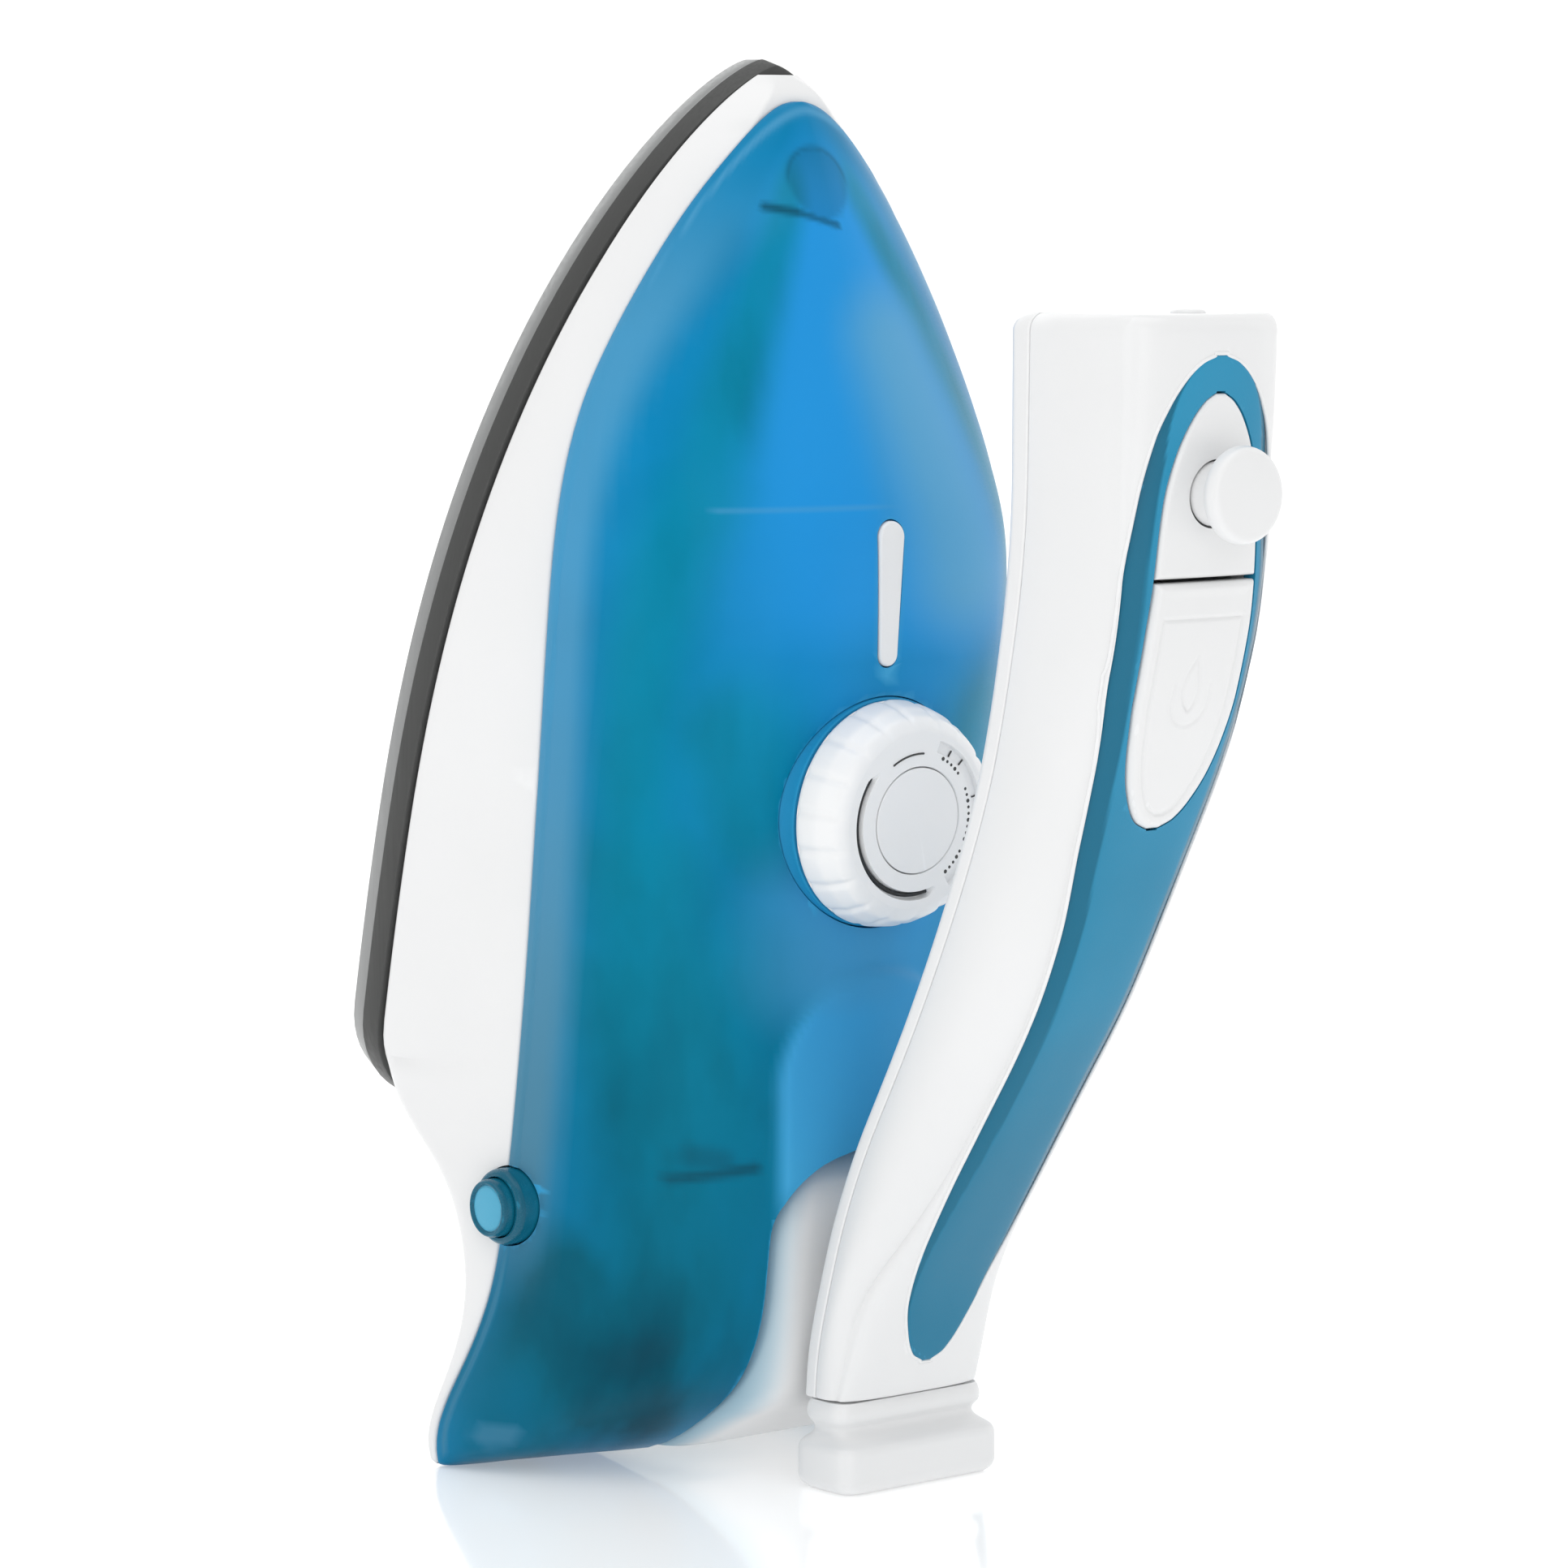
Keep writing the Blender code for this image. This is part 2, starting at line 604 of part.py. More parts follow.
dial_profile = [
    (SHAFT_RADIUS + 0.15, 3.0), (13.6, 3.0), (14.2, 1.0), (16.3, 1.0), (DIAL_RADIUS, 2.2),
    (DIAL_RADIUS, 5.8), (16.5, 7.6), (15.4, 8.7), (14.0, face), (8.9, face - 0.2), (8.7, face - 1.4),
    (SHAFT_RADIUS + 0.15, face - 1.4),
]
turned(
    "dial", dial_profile, dial_base, dial_axis, WHITE, 72, DIAL_FLUTES, (3, 4, 5, 6),
)
turned(
    "dial_cap",
    [(0.0, 7.9), (8.3, 7.9), (8.3, 8.7), (7.9, 9.0), (0.0, 9.2)],
    dial_base,
    dial_axis,
    WHITE,
    40,
)

# ---------------------------------------------------------------- pilot lamp window on the ridge
def window_body(name, grow, low, high, look=PALE):
    """A tapered pill on the ridge between two depths from the surface."""
    points = []
    for centre, radius, first, last in ((140.3, 2.4, -90, 90), (122.9, 1.7, 90, 270)):
        for k in range(9):
            angle = math.radians(first + (last - first) * k / 8)
            points.append(
                ((radius + grow) * math.sin(angle), centre + (radius + grow) * math.cos(angle))
            )
    rings = []
    for depth in (low, high):
        rings.append([(x, curve(TANK_TOP, up) + depth, up) for x, up in points])
    return loft(name, rings, look)


lamp_window = window_body("lamp_window", 0.0, -5.0, 0.45, WHITE)
cut(lamp_window, window_body("tool", -0.7, -7.0, -1.0))
cut(water_tank, window_body("tool", 0.3, -7.0, 4.0))
rod("pilot_lamp", 0.85, (0, 17.7, 127.0), (0, 18.4, 139.0), AMBER, 10)

# ---------------------------------------------------------------- fold release on the left flank
release_axis = (-1.0, 0.0, 0.0)


def at_release(x):
    return (x, RELEASE_OUT, RELEASE_UP)


release_profile = ring_profile(0.0, 6.0, -1.0, 12.0)
for piece in (skirt, water_tank, tank_floor):
    cut(piece, turned("tool", release_profile, at_release(-38.5), release_axis, sides=32))
bezel = [
    (4.6, 0.0), (5.7, 0.0), (5.7, 7.4), (5.2, 8.0), (4.6, 8.0),
]
turned("release_bezel", bezel, at_release(-38.6), release_axis, TANK_BLUE, 28)
button = [
    (0.0, 2.6), (4.3, 2.6), (4.3, 9.4), (3.9, 9.9), (2.9, 9.9), (2.6, 9.6), (0.0, 9.6),
]
turned("release_button", button, at_release(-38.6), release_axis, TANK_BLUE, 28)

# ---------------------------------------------------------------- cord gland in the heel
gland_axis = (0.0, 1.0, -0.05)
gland = [
    (2.2, 0.0), (6.2, 0.0), (6.2, 1.6), (4.9, 1.9), (4.9, 3.8), (4.3, 4.2), (4.6, 4.6), (4.6, 6.4),
    (4.0, 6.8), (4.3, 7.2), (4.3, 9.0), (3.7, 9.4), (3.9, 9.8), (3.9, 12.0), (2.2, 12.0),
]
cut(skirt, rod("tool", 3.2, (0, -14.0, 28.0), (0, -30.0, 28.0), sides=16))
cut(skirt, rod("tool", 6.6, (0, -21.4, 28.0), (0, -34.0, 27.4), sides=24))
turned("cord_gland", gland, (0, -22.2, 28.0), gland_axis, RUBBER, 14)


# ---------------------------------------------------------------- handle
def crown(x, up):
    """Out of the handle's outer face at x."""
    corner = curve(CORNER_HALF, up)
    rise = curve(CROWN_RISE, up)
    share = min(1.0, abs(x) / corner)
    return curve(CROWN_OUT, up) - rise * (1 - (1 - share**3) ** (1 / 3))


def seam(up):
    """Out of the joint between the handle's two shells."""
    return curve(HANDLE_IN, up) + curve([(13, 3.0), (90, 3.4), (174, 4.6)], up)


def handle_front(up, shrink=0.0):
    """Half points of the outer shell from the seam round to the crown."""
    half = curve(HANDLE_HALF, up) - shrink
    corner = curve(CORNER_HALF, up) - 0.8 * shrink
    low = seam(up) + 0.15
    high = curve(CROWN_OUT, up) - curve(CROWN_RISE, up) - 0.3 * shrink
    waist = low + 0.30 * (high - low)
    points = [(half, low), (half, waist)]
    for t in (0.35, 0.7, 1.0):
        x = half * (1 - t) ** 2 + 2 * half * t * (1 - t) + corner * t * t
        out = waist * (1 - t) ** 2 + 2 * (waist + 0.65 * (high - waist)) * t * (1 - t) + high * t * t
        points.append((x, out))
    for share in (0.96, 0.86, 0.7, 0.45, 0.2, 0.0):
        x = share * corner
        points.append((x, crown(x, up) - shrink))
    return points


def shell_ring(up, shrink=0.0):
    points = handle_front(up, shrink)
    return mirrored([(0.0, points[0][1]), (0.5 * points[0][0], points[0][1])] + points, up)


def lid_ring(up, shrink=0.0):
    half = curve(HANDLE_HALF, up) - shrink
    low = curve(HANDLE_IN, up) + shrink
    high = seam(up) - 0.15
    points = [
        (0.0, low), (half - 3.2, low), (half - 1.3, low + 0.5), (half - 0.3, low + 1.5),
        (half, min(low + 2.6, high - 0.1)), (half, high), (0.5 * half, high), (0.0, high),
    ]
    return mirrored(points, up)


handle_rows = [HANDLE_BOTTOM, 19, 24, 29, 34, 40, 46, 52, 60, 68, 76, 84, 92, 100, 108, 116, 124, 132]
handle_rows += [140, 148, 156, 164, 170.6]
rounded_end = [(172.6, 0.45), (173.6, 1.2), (HANDLE_TOP, 2.6)]
rings = [shell_ring(up) for up in handle_rows] + [shell_ring(up, in_by) for up, in_by in rounded_end]
handle_shell = loft("handle_shell", rings, WHITE)
rings = [lid_ring(up) for up in handle_rows] + [lid_ring(up, in_by * 0.8) for up, in_by in rounded_end]
handle_lid = loft("handle_lid", rings, WHITE)


def hollow_ring(up):
    points = handle_front(up, 2.4)
    low = points[0][1] - 3.0
    inner = [(x, min(out, crown(0, up) - 4.9)) for x, out in points]
    return mirrored([(0.0, low), (inner[0][0], low)] + inner, up)


cut(handle_shell, loft("tool", [hollow_ring(up) for up in (34, 46, 60, 76, 92, 108, 124, 140, 156, 168)]))


def skin_ring(up, half, low, high):
    """Section of a piece that follows the crown, between two depths from it."""
    shares = (1.0, 0.92, 0.78, 0.55, 0.28, 0.0)
    outer = [(share * half, crown(share * half, up) + high) for share in shares]
    inner = [(share * half, crown(share * half, up) + low) for share in reversed(shares)]
    return mirrored(inner + outer, up)


def skin_body(name, line, low, high, grow=0.0, look=PALE, bottom=None, top=None):
    """A piece on the crown whose half width follows a line of stations."""
    first = line[0][0] if bottom is None else bottom
    last = line[-1][0] if top is None else top
    rows = heights(line, first, last, 14)
    rings = [skin_ring(up, curve(line, up) + grow, low, high) for up in rows]
    if grow and bottom is None:
        rings.insert(0, [(x * 0.6, out - 0.4 * grow, up - grow) for x, out, up in rings[0]])
    if grow and top is None:
        rings.append([(x * 0.6, out + 0.1 * grow, up + grow) for x, out, up in rings[-1]])
    return loft(name, rings, look)


cut(handle_shell, skin_body("tool", INLAY_HALF, -2.3, 3.0, 0.15))
grip_inlay = skin_body("grip_inlay", INLAY_HALF, -2.0, 0.15, 0.0, GRIP_BLUE)
cut(grip_inlay, skin_body("tool", PANEL_HALF, -5.0, 4.0, 0.3))
front_panel = skin_body("front_panel", PANEL_HALF, -2.0, 0.5, 0.0, WHITE, bottom=SPLIT_UP + 0.3)
steam_button = skin_body("steam_button", PANEL_HALF, -2.0, 0.7, 0.0, WHITE, top=SPLIT_UP - 0.3)
cut(handle_shell, skin_body("tool", PANEL_HALF, -12.0, 2.0, 0.3, top=SPLIT_UP + 0.2))

knob_hole = KNOB_NECK + 0.35
for piece in (front_panel, handle_shell):
    cut(piece, rod("tool", knob_hole, (0, 76, KNOB_UP), (0, 99, KNOB_UP), sides=28))
knob_profile = [
    (0.0, -8.0), (2.6, -8.0), (2.6, -4.6), (KNOB_NECK, -4.6), (KNOB_NECK, 3.6), (KNOB_NECK + 0.4, 4.3),
    (KNOB_RADIUS - 0.5, 5.2), (KNOB_RADIUS, 5.9), (KNOB_RADIUS, 7.4), (KNOB_RADIUS - 0.6, 8.2),
    (KNOB_RADIUS - 1.6, 8.5), (0.0, 8.5),
]
turned("steam_knob", knob_profile, (0, KNOB_BASE, KNOB_UP), (0, -1, 0), WHITE, 36)

knuckle = rod(
    "tool", KNUCKLE_RADIUS, (-KNUCKLE_HALF, PIVOT_OUT, PIVOT_UP), (KNUCKLE_HALF, PIVOT_OUT, PIVOT_UP),
    sides=24,
)
web_low = [(-KNUCKLE_HALF, 12.0, 19.4), (KNUCKLE_HALF, 12.0, 19.4), (KNUCKLE_HALF, 21.0, 18.4), (-KNUCKLE_HALF, 21.0, 18.4)]
web_high = [(-KNUCKLE_HALF, 12.0, 28.6), (KNUCKLE_HALF, 12.0, 28.6), (KNUCKLE_HALF, 23.4, 29.6), (-KNUCKLE_HALF, 23.4, 29.6)]
join(knuckle, loft("tool2", [web_low, web_high]))
join(handle_lid, knuckle)
cut(
    handle_lid,
    rod("tool", PIN_RADIUS + 0.15, (-9, PIVOT_OUT, PIVOT_UP), (9, PIVOT_OUT, PIVOT_UP), sides=16),
)
cut(handle_shell, loft("tool", [
    [(-6, 20.0, 16.0), (6, 20.0, 16.0), (6, 25.0, 16.0), (-6, 25.0, 16.0)],
    [(-6, 22.0, 33.0), (6, 22.0, 33.0), (6, 30.0, 33.0), (-6, 30.0, 33.0)],
]))


# ---------------------------------------------------------------- foot of the handle
def foot_ring(half, back, front, radius, up):
    points = [(0.0, back), (half - radius, back)]
    for k in range(1, 4):
        angle = math.radians(30 * k)
        points.append((half - radius + radius * math.sin(angle), back + radius - radius * math.cos(angle)))
    for k in range(0, 3):
        angle = math.radians(30 * k)
        points.append((half - radius + radius * math.cos(angle), front - radius + radius * math.sin(angle)))
    points += [(half - radius, front), (0.0, front)]
    return mirrored(points, up)


foot_sections = [
    (14.2, 18.4, 28.8, 2.2, 0.0), (15.0, 17.4, 29.7, 2.6, 0.7), (15.4, 17.0, 30.0, 2.8, 1.8),
    (15.4, 17.0, 30.0, 2.8, 5.8), (15.0, 17.4, 29.6, 2.6, 7.0), (14.0, 18.4, 28.0, 2.4, 7.8),
    (13.5, 18.9, 26.6, 2.2, 8.7), (13.6, 18.8, 26.5, 2.2, 9.6), (14.2, 18.2, 27.2, 2.4, 10.3),
    (14.4, 18.0, 27.5, 2.5, 11.4), (14.2, 18.2, 27.3, 2.4, 12.6), (13.8, 18.6, 27.0, 2.2, FOOT_TOP),
]
loft("handle_foot", [foot_ring(*section) for section in foot_sections], WHITE)

# ---------------------------------------------------------------- pieces inside the handle
pump_axis = (0.0, -1.0, 0.0)
rod("steam_pump", 4.6, (0, 68.0, 120.0), (0, 74.4, 120.0), PALE, 20)
spring("steam_spring", (0, 74.7, 120.0), (0, 81.4, 120.0), 2.6, 0.35, 5)
spring("knob_spring", (0, 70.3, KNOB_UP), (0, 79.8, KNOB_UP), 2.0, 0.3, 6)
spring("release_spring", at_release(-37.9), at_release(-40.8), 2.2, 0.25, 3)
for label, up in (("upper", 162.0), ("middle", 126.0)):
    head = curve(HANDLE_IN, up) + 1.8
    cut(handle_lid, rod("tool", 3.1, (0, head - 4.0, up), (0, head + 0.3, up), sides=16))
    cut(handle_lid, rod("tool", 1.6, (0, head - 1.0, up), (0, head + 6.0, up), sides=12))
    screw("handle_screw_" + label, (0, head, up), (0, -1, 0), 3.4)
sole_off = (0, math.cos(LEAN), math.sin(LEAN))
screw("sole_screw_nose", on_sole(0, 40, SOLE_THICK + 4.0), sole_off, 3.6)
screw("sole_screw_left", on_sole(-33, 140, SOLE_THICK + 4.0), sole_off, 3.6)
screw("sole_screw_right", on_sole(33, 140, SOLE_THICK + 4.0), sole_off, 3.6)


# ---------------------------------------------------------------- origins on the joint axes
def put_origin(name, point):
    """Moves a piece's origin to a point of its joint axis, and leaves its shape in place."""
    piece = bpy.data.objects[name]
    place = world(point)
    piece.data.transform(Matrix.Translation(-place))
    piece.location = place


BUTTON_PIVOT = (0.0, 76.2, 103.0)
for name in (
    "handle_shell", "handle_lid", "handle_foot", "grip_inlay", "front_panel", "steam_pump",
    "steam_spring", "knob_spring", "handle_screw_upper", "handle_screw_middle", "hinge_pin",
):
    put_origin(name, (0.0, PIVOT_OUT, PIVOT_UP))
for name in ("dial", "dial_cap", "thermostat_shaft"):
    put_origin(name, dial_base)
put_origin("steam_knob", (0.0, KNOB_BASE, KNOB_UP))
put_origin("steam_button", BUTTON_PIVOT)
put_origin("release_button", (-44.0, RELEASE_OUT, RELEASE_UP))
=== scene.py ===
"""Looks of the folding travel steam iron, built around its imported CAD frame.

Lengths are in millimetres until world() turns them into metres. A point is (x, out, up): x is across
the iron, out is the distance from the sole toward the handle, and up is the height. The lines that the
shapes follow are the CAD's own, so each piece lies where its node does, with finer curvature and edges.
"""

import math
from functools import lru_cache

import bmesh
import bpy
import numpy as np
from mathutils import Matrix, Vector

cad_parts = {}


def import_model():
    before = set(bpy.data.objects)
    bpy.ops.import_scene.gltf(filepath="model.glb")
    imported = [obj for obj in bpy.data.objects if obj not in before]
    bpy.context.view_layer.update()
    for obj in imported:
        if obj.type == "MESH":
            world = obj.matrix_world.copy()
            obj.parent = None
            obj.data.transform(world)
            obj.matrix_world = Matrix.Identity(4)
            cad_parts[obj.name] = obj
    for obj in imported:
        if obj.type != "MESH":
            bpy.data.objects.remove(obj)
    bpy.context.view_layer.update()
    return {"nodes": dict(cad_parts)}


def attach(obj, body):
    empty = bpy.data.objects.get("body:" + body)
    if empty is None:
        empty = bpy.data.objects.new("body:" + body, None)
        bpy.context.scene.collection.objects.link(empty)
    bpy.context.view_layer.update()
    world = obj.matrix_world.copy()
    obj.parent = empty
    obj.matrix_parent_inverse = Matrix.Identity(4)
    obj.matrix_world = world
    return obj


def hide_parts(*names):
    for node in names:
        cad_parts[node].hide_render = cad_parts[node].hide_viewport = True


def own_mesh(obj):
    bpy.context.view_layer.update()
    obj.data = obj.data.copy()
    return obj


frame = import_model()

# ---------------------------------------------------------------- driving dimensions, as in the CAD
LEAN = math.radians(14.0)        # the sole leans back from upright by this
TIP_OUT, TIP_UP = -12.0, 211.6   # nose tip of the sole
SOLE_LENGTH, SOLE_HALF, SOLE_THICK = 163.0, 49.5, 8.0
NOSE_LENGTH, HEEL_RADIUS = 120.0, 15.0
GAP = 0.3
TANK_WALL = 1.8
PIVOT_OUT, PIVOT_UP = 13.0, 24.0
KNUCKLE_RADIUS, KNUCKLE_HALF, PIN_RADIUS = 5.0, 8.0, 1.6
PYLON_SQUARE = 7.0
DIAL_OUT, DIAL_UP, DIAL_TILT = 18.9, 99.5, math.radians(-4.0)
DIAL_FLUTES, SHAFT_RADIUS, SEAT_RADIUS = 18, 2.2, 17.25
KNOB_UP, KNOB_BASE, KNOB_FACE, KNOB_NECK, KNOB_RADIUS = 149.4, 88.4, 96.9, 4.5, 6.9
RELEASE_OUT, RELEASE_UP, RELEASE_BASE = -13.6, 41.0, -38.6
GLAND_UP = 28.0
SPLIT_UP = 137.5                 # line between the front panel and the steam button
HANDLE_BOTTOM, HANDLE_TOP = 13.5, 174.1
HANDLE_SCREWS_UP = (162.0, 126.0)
MID_OUT = (KNOB_FACE + TIP_OUT - SOLE_LENGTH * math.sin(LEAN)) / 2

# Each line is a list of (up, value) stations.
LINES = {
    "tank_half": [
        (0, 47.6), (4, 48.3), (8, 48.2), (13, 47.5), (23, 46.0), (34, 44.6), (49, 43.5), (75, 42.0),
        (105, 40.4), (137, 38.8), (150, 37.8), (160, 35.6), (169, 31.6), (178, 26.4), (188, 19.5),
        (197, 11.6), (202, 6.0), (203.6, 3.2), (204.2, 0.8),
    ],
    "joint_out": [
        (0, -26.6), (4, -26.3), (8, -25.4), (13, -22.8), (18, -20.2), (23, -18.0), (28, -16.4),
        (34, -15.4), (49, -13.9), (75, -12.0), (105, -10.7), (137, -9.2), (160, -6.0), (188, -1.8),
        (204, 0.6), (206.4, -0.8), (208.2, -2.8),
    ],
    "tank_top": [
        (0, -20.0), (3, -2.0), (8, 6.6), (14, 13.5), (27, 18.0), (47, 19.0), (79, 18.4), (99.5, 18.9),
        (121, 20.9), (142, 21.8), (152, 19.6), (162, 16.4), (175, 12.2), (188, 8.2), (198, 4.6),
        (204, 1.4), (204.2, 1.2),
    ],
    "tank_round": [(0, 2.0), (60, 2.0), (99, 2.2), (135, 2.5), (150, 2.1), (165, 1.8), (204.2, 1.7)],
    "pylon_half": [
        (3, 22.6), (6.5, 21.6), (11, 20.4), (14, 19.7), (20, 18.8), (27, 18.3), (38, 17.7), (43, 15.9),
        (46, 13.2), (48.2, 9.4), (49.4, 5.0),
    ],
    "pylon_out": [
        (3, -1.8), (4.5, 1.8), (6.5, 5.6), (9, 10.0), (11, 14.6), (14, 16.2), (27, 17.2), (38, 17.6),
        (43, 17.0), (46, 15.2), (48.2, 12.0), (49.4, 8.0),
    ],
    "skirt_nose": [(200, 8.6), (204, 5.4), (206.4, 3.4), (208.2, 1.0)],
    "handle_in": [
        (13, 18.2), (20, 19.2), (28.6, 21.6), (40, 25.2), (51.5, 30.2), (62, 36.0), (72, 41.4),
        (87, 48.6), (99, 53.6), (110, 57.3), (125, 60.6), (138, 62.6), (150, 63.4), (174.2, 63.4),
    ],
    "lid_depth": [(13, 3.0), (90, 3.4), (174, 4.6)],
    "handle_half": [(13, 14.2), (28, 14.8), (60, 15.0), (174.2, 15.0)],
    "corner_half": [
        (13, 13.4), (19, 13.2), (29, 12.4), (40, 10.2), (50, 9.2), (63, 9.0), (75, 9.2), (86, 9.8),
        (100, 11.5), (110, 12.6), (125, 13.7), (137, 13.9), (150, 14.1), (174.2, 14.4),
    ],
    "crown_out": [
        (13, 27.6), (19, 30.0), (29, 34.0), (40, 41.0), (50, 48.0), (63, 56.9), (75, 64.8), (86, 70.4),
        (100, 76.4), (110, 80.6), (121, 84.4), (137, 88.0), (149, 89.0), (163, 90.4), (174.2, 91.0),
    ],
    "crown_rise": [
        (13, 2.6), (19, 3.4), (29, 4.4), (40, 3.2), (50, 2.6), (75, 2.4), (100, 2.8), (125, 3.4),
        (137, 4.0), (150, 5.0), (174.2, 7.0),
    ],
    "inlay_half": [
        (18.8, 0.8), (20, 2.9), (24, 5.2), (29, 6.8), (40, 8.2), (50, 8.5), (63, 8.5), (75, 8.8),
        (86, 9.4), (100, 11.1), (110, 12.2), (125, 13.4), (137, 13.5), (148, 12.5), (157, 10.7),
        (162, 8.5), (165.5, 5.9), (167.6, 3.2), (168.4, 0.9),
    ],
    "panel_half": [
        (102.0, 1.2), (103.0, 3.4), (105.5, 5.6), (110, 7.8), (115, 9.0), (121, 9.7), (130, 9.8),
        (137, 9.5), (143, 9.2), (149, 8.6), (155, 7.1), (159.5, 4.9), (162.2, 2.6), (163.2, 0.9),
    ],
}
HEEL_SECTIONS = [  # up, back half width, back out, side half width, side out
    (0, 45.0, -28.5, 48.0, -27.6), (1, 46.0, -29.5, 48.6, -27.9), (4, 46.6, -30.0, 48.9, -28.2),
    (8, 46.6, -29.0, 48.8, -27.2), (13, 46.2, -26.8, 48.3, -25.0), (18, 45.6, -24.6, 47.8, -23.0),
    (23, 45.0, -23.2, 47.4, -21.6), (28, 44.6, -22.8, 47.1, -21.2), (33, 44.5, -23.6, 47.0, -21.8),
    (38, 44.0, -25.6, 46.9, -23.5), (42, 43.0, -28.6, 46.8, -26.0), (46, 41.0, -33.0, 46.8, -29.5),
    (49, 38.0, -38.5, 46.8, -33.0), (51.5, 37.0, -42.0, 47.0, -35.5), (55, 43.0, -41.7, 47.4, -38.0),
    (60, 46.6, -40.5, 48.0, -38.9),
]
FOOT_SECTIONS = [  # up, half width, back out, front out, corner radius
    (0.0, 14.2, 18.4, 28.8, 2.2), (0.7, 15.0, 17.4, 29.7, 2.6), (1.8, 15.4, 17.0, 30.0, 2.8),
    (5.8, 15.4, 17.0, 30.0, 2.8), (7.0, 15.0, 17.4, 29.6, 2.6), (7.8, 14.0, 18.4, 28.0, 2.4),
    (8.7, 13.5, 18.9, 26.6, 2.2), (9.6, 13.6, 18.8, 26.5, 2.2), (10.3, 14.2, 18.2, 27.2, 2.4),
    (11.4, 14.4, 18.0, 27.5, 2.5), (12.6, 14.2, 18.2, 27.3, 2.4), (13.2, 13.8, 18.6, 27.0, 2.2),
]
for label, sections in (("heel_", HEEL_SECTIONS), ("foot_", FOOT_SECTIONS)):
    for column in range(1, 5):
        LINES[label + str(column)] = [(s[0], s[column]) for s in sections]


# ---------------------------------------------------------------- lines and places
def curve(stations, up):
    """Value of a line at a height, smooth between stations and never beyond them."""
    if up <= stations[0][0]:
        return stations[0][1]
    if up >= stations[-1][0]:
        return stations[-1][1]
    steps = [b[0] - a[0] for a, b in zip(stations, stations[1:])]
    rates = [(b[1] - a[1]) / (b[0] - a[0]) for a, b in zip(stations, stations[1:])]
    k = max(i for i, s in enumerate(stations[:-1]) if s[0] <= up)

    def slope(i):
        if i == 0 or i == len(rates):
            return rates[min(i, len(rates) - 1)]
        if rates[i - 1] * rates[i] <= 0:
            return 0.0
        return 2 * rates[i - 1] * rates[i] / (rates[i - 1] + rates[i])

    t = (up - stations[k][0]) / steps[k]
    low, high = stations[k][1], stations[k + 1][1]
    bend_low, bend_high = slope(k) * steps[k], slope(k + 1) * steps[k]
    return (
        low * (1 + 2 * t) * (1 - t) ** 2
        + bend_low * t * (1 - t) ** 2
        + high * t * t * (3 - 2 * t)
        + bend_high * t * t * (t - 1)
    )


BLUR = ((-1, 0.15), (-0.5, 0.22), (0, 0.26), (0.5, 0.22), (1, 0.15))


@lru_cache(None)
def line(name, up, most=4.0):
    """Value of a named line, averaged over a short reach so that highlights run smoothly along it."""
    stations = LINES[name]
    reach = min(most, 0.45 * (up - stations[0][0]), 0.45 * (stations[-1][0] - up))
    if reach <= 0:
        return curve(stations, up)
    return sum(share * curve(stations, up + reach * step) for step, share in BLUR)


def world(point):
    x, out, up = point
    return Vector((x, MID_OUT - out, up)) * 0.001


def on_sole(x, along, off):
    """(x, distance from the nose along the sole, distance off the sole) to (x, out, up)."""
    out = TIP_OUT + off * math.cos(LEAN) - along * math.sin(LEAN)
    up = TIP_UP - along * math.cos(LEAN) - off * math.sin(LEAN)
    return (x, out, up)


def sole_half(along):
    """Half the width of the sole outline at a distance from the nose."""
    if along <= 0:
        return 0.0
    if along < NOSE_LENGTH:
        return SOLE_HALF * (1 - (1 - along / NOSE_LENGTH) ** 2.3) ** 0.719
    side = SOLE_HALF - 0.9 * ((along - NOSE_LENGTH) / 35) ** 2
    corner = min(along - (SOLE_LENGTH - HEEL_RADIUS), HEEL_RADIUS)
    if corner <= 0:
        return side
    return side - HEEL_RADIUS + math.sqrt(HEEL_RADIUS**2 - corner**2)


def smooth_step(low, high, value):
    t = min(1.0, max(0.0, (value - low) / (high - low)))
    return t * t * (3 - 2 * t)


def spaced(low, high, step):
    """Evenly spaced values from low to high, no further apart than step."""
    count = max(1, math.ceil((high - low) / step))
    return [low + (high - low) * k / count for k in range(count + 1)]


def rows(*stretches):
    """Heights from (low, high, step) stretches."""
    return sorted({round(up, 4) for low, high, step in stretches for up in spaced(low, high, step)})


def tuck(depth, radius):
    """How far a rounded edge pulls in at a depth below the end of the body."""
    if depth >= radius:
        return 0.0
    return radius - math.sqrt(radius**2 - (radius - depth) ** 2)


# ---------------------------------------------------------------- mesh helpers
def place(name, data):
    """A new object in the scene with this data."""
    made = bpy.data.objects.new(name, data)
    bpy.context.scene.collection.objects.link(made)
    return made


def finish_mesh(name, bm, material, sharp=32):
    bmesh.ops.remove_doubles(bm, verts=bm.verts, dist=2e-6)
    bmesh.ops.delete(bm, geom=[e for e in bm.edges if not e.link_faces], context="EDGES")
    bmesh.ops.recalc_face_normals(bm, faces=bm.faces)
    mesh = bpy.data.meshes.new(name)
    bm.to_mesh(mesh)
    bm.free()
    made = place(name, mesh)
    if material:
        mesh.materials.append(material)
    smooth(made, sharp)
    return made


def smooth(piece, sharp=32):
    piece.data.shade_smooth()
    piece.data.set_sharp_from_angle(angle=math.radians(sharp))


def strip(bm, low, high):
    """Faces between two rings of vertices with the same count."""
    count = len(low)
    for i in range(count):
        j = (i + 1) % count
        bm.faces.new((low[i], low[j], high[j], high[i]))


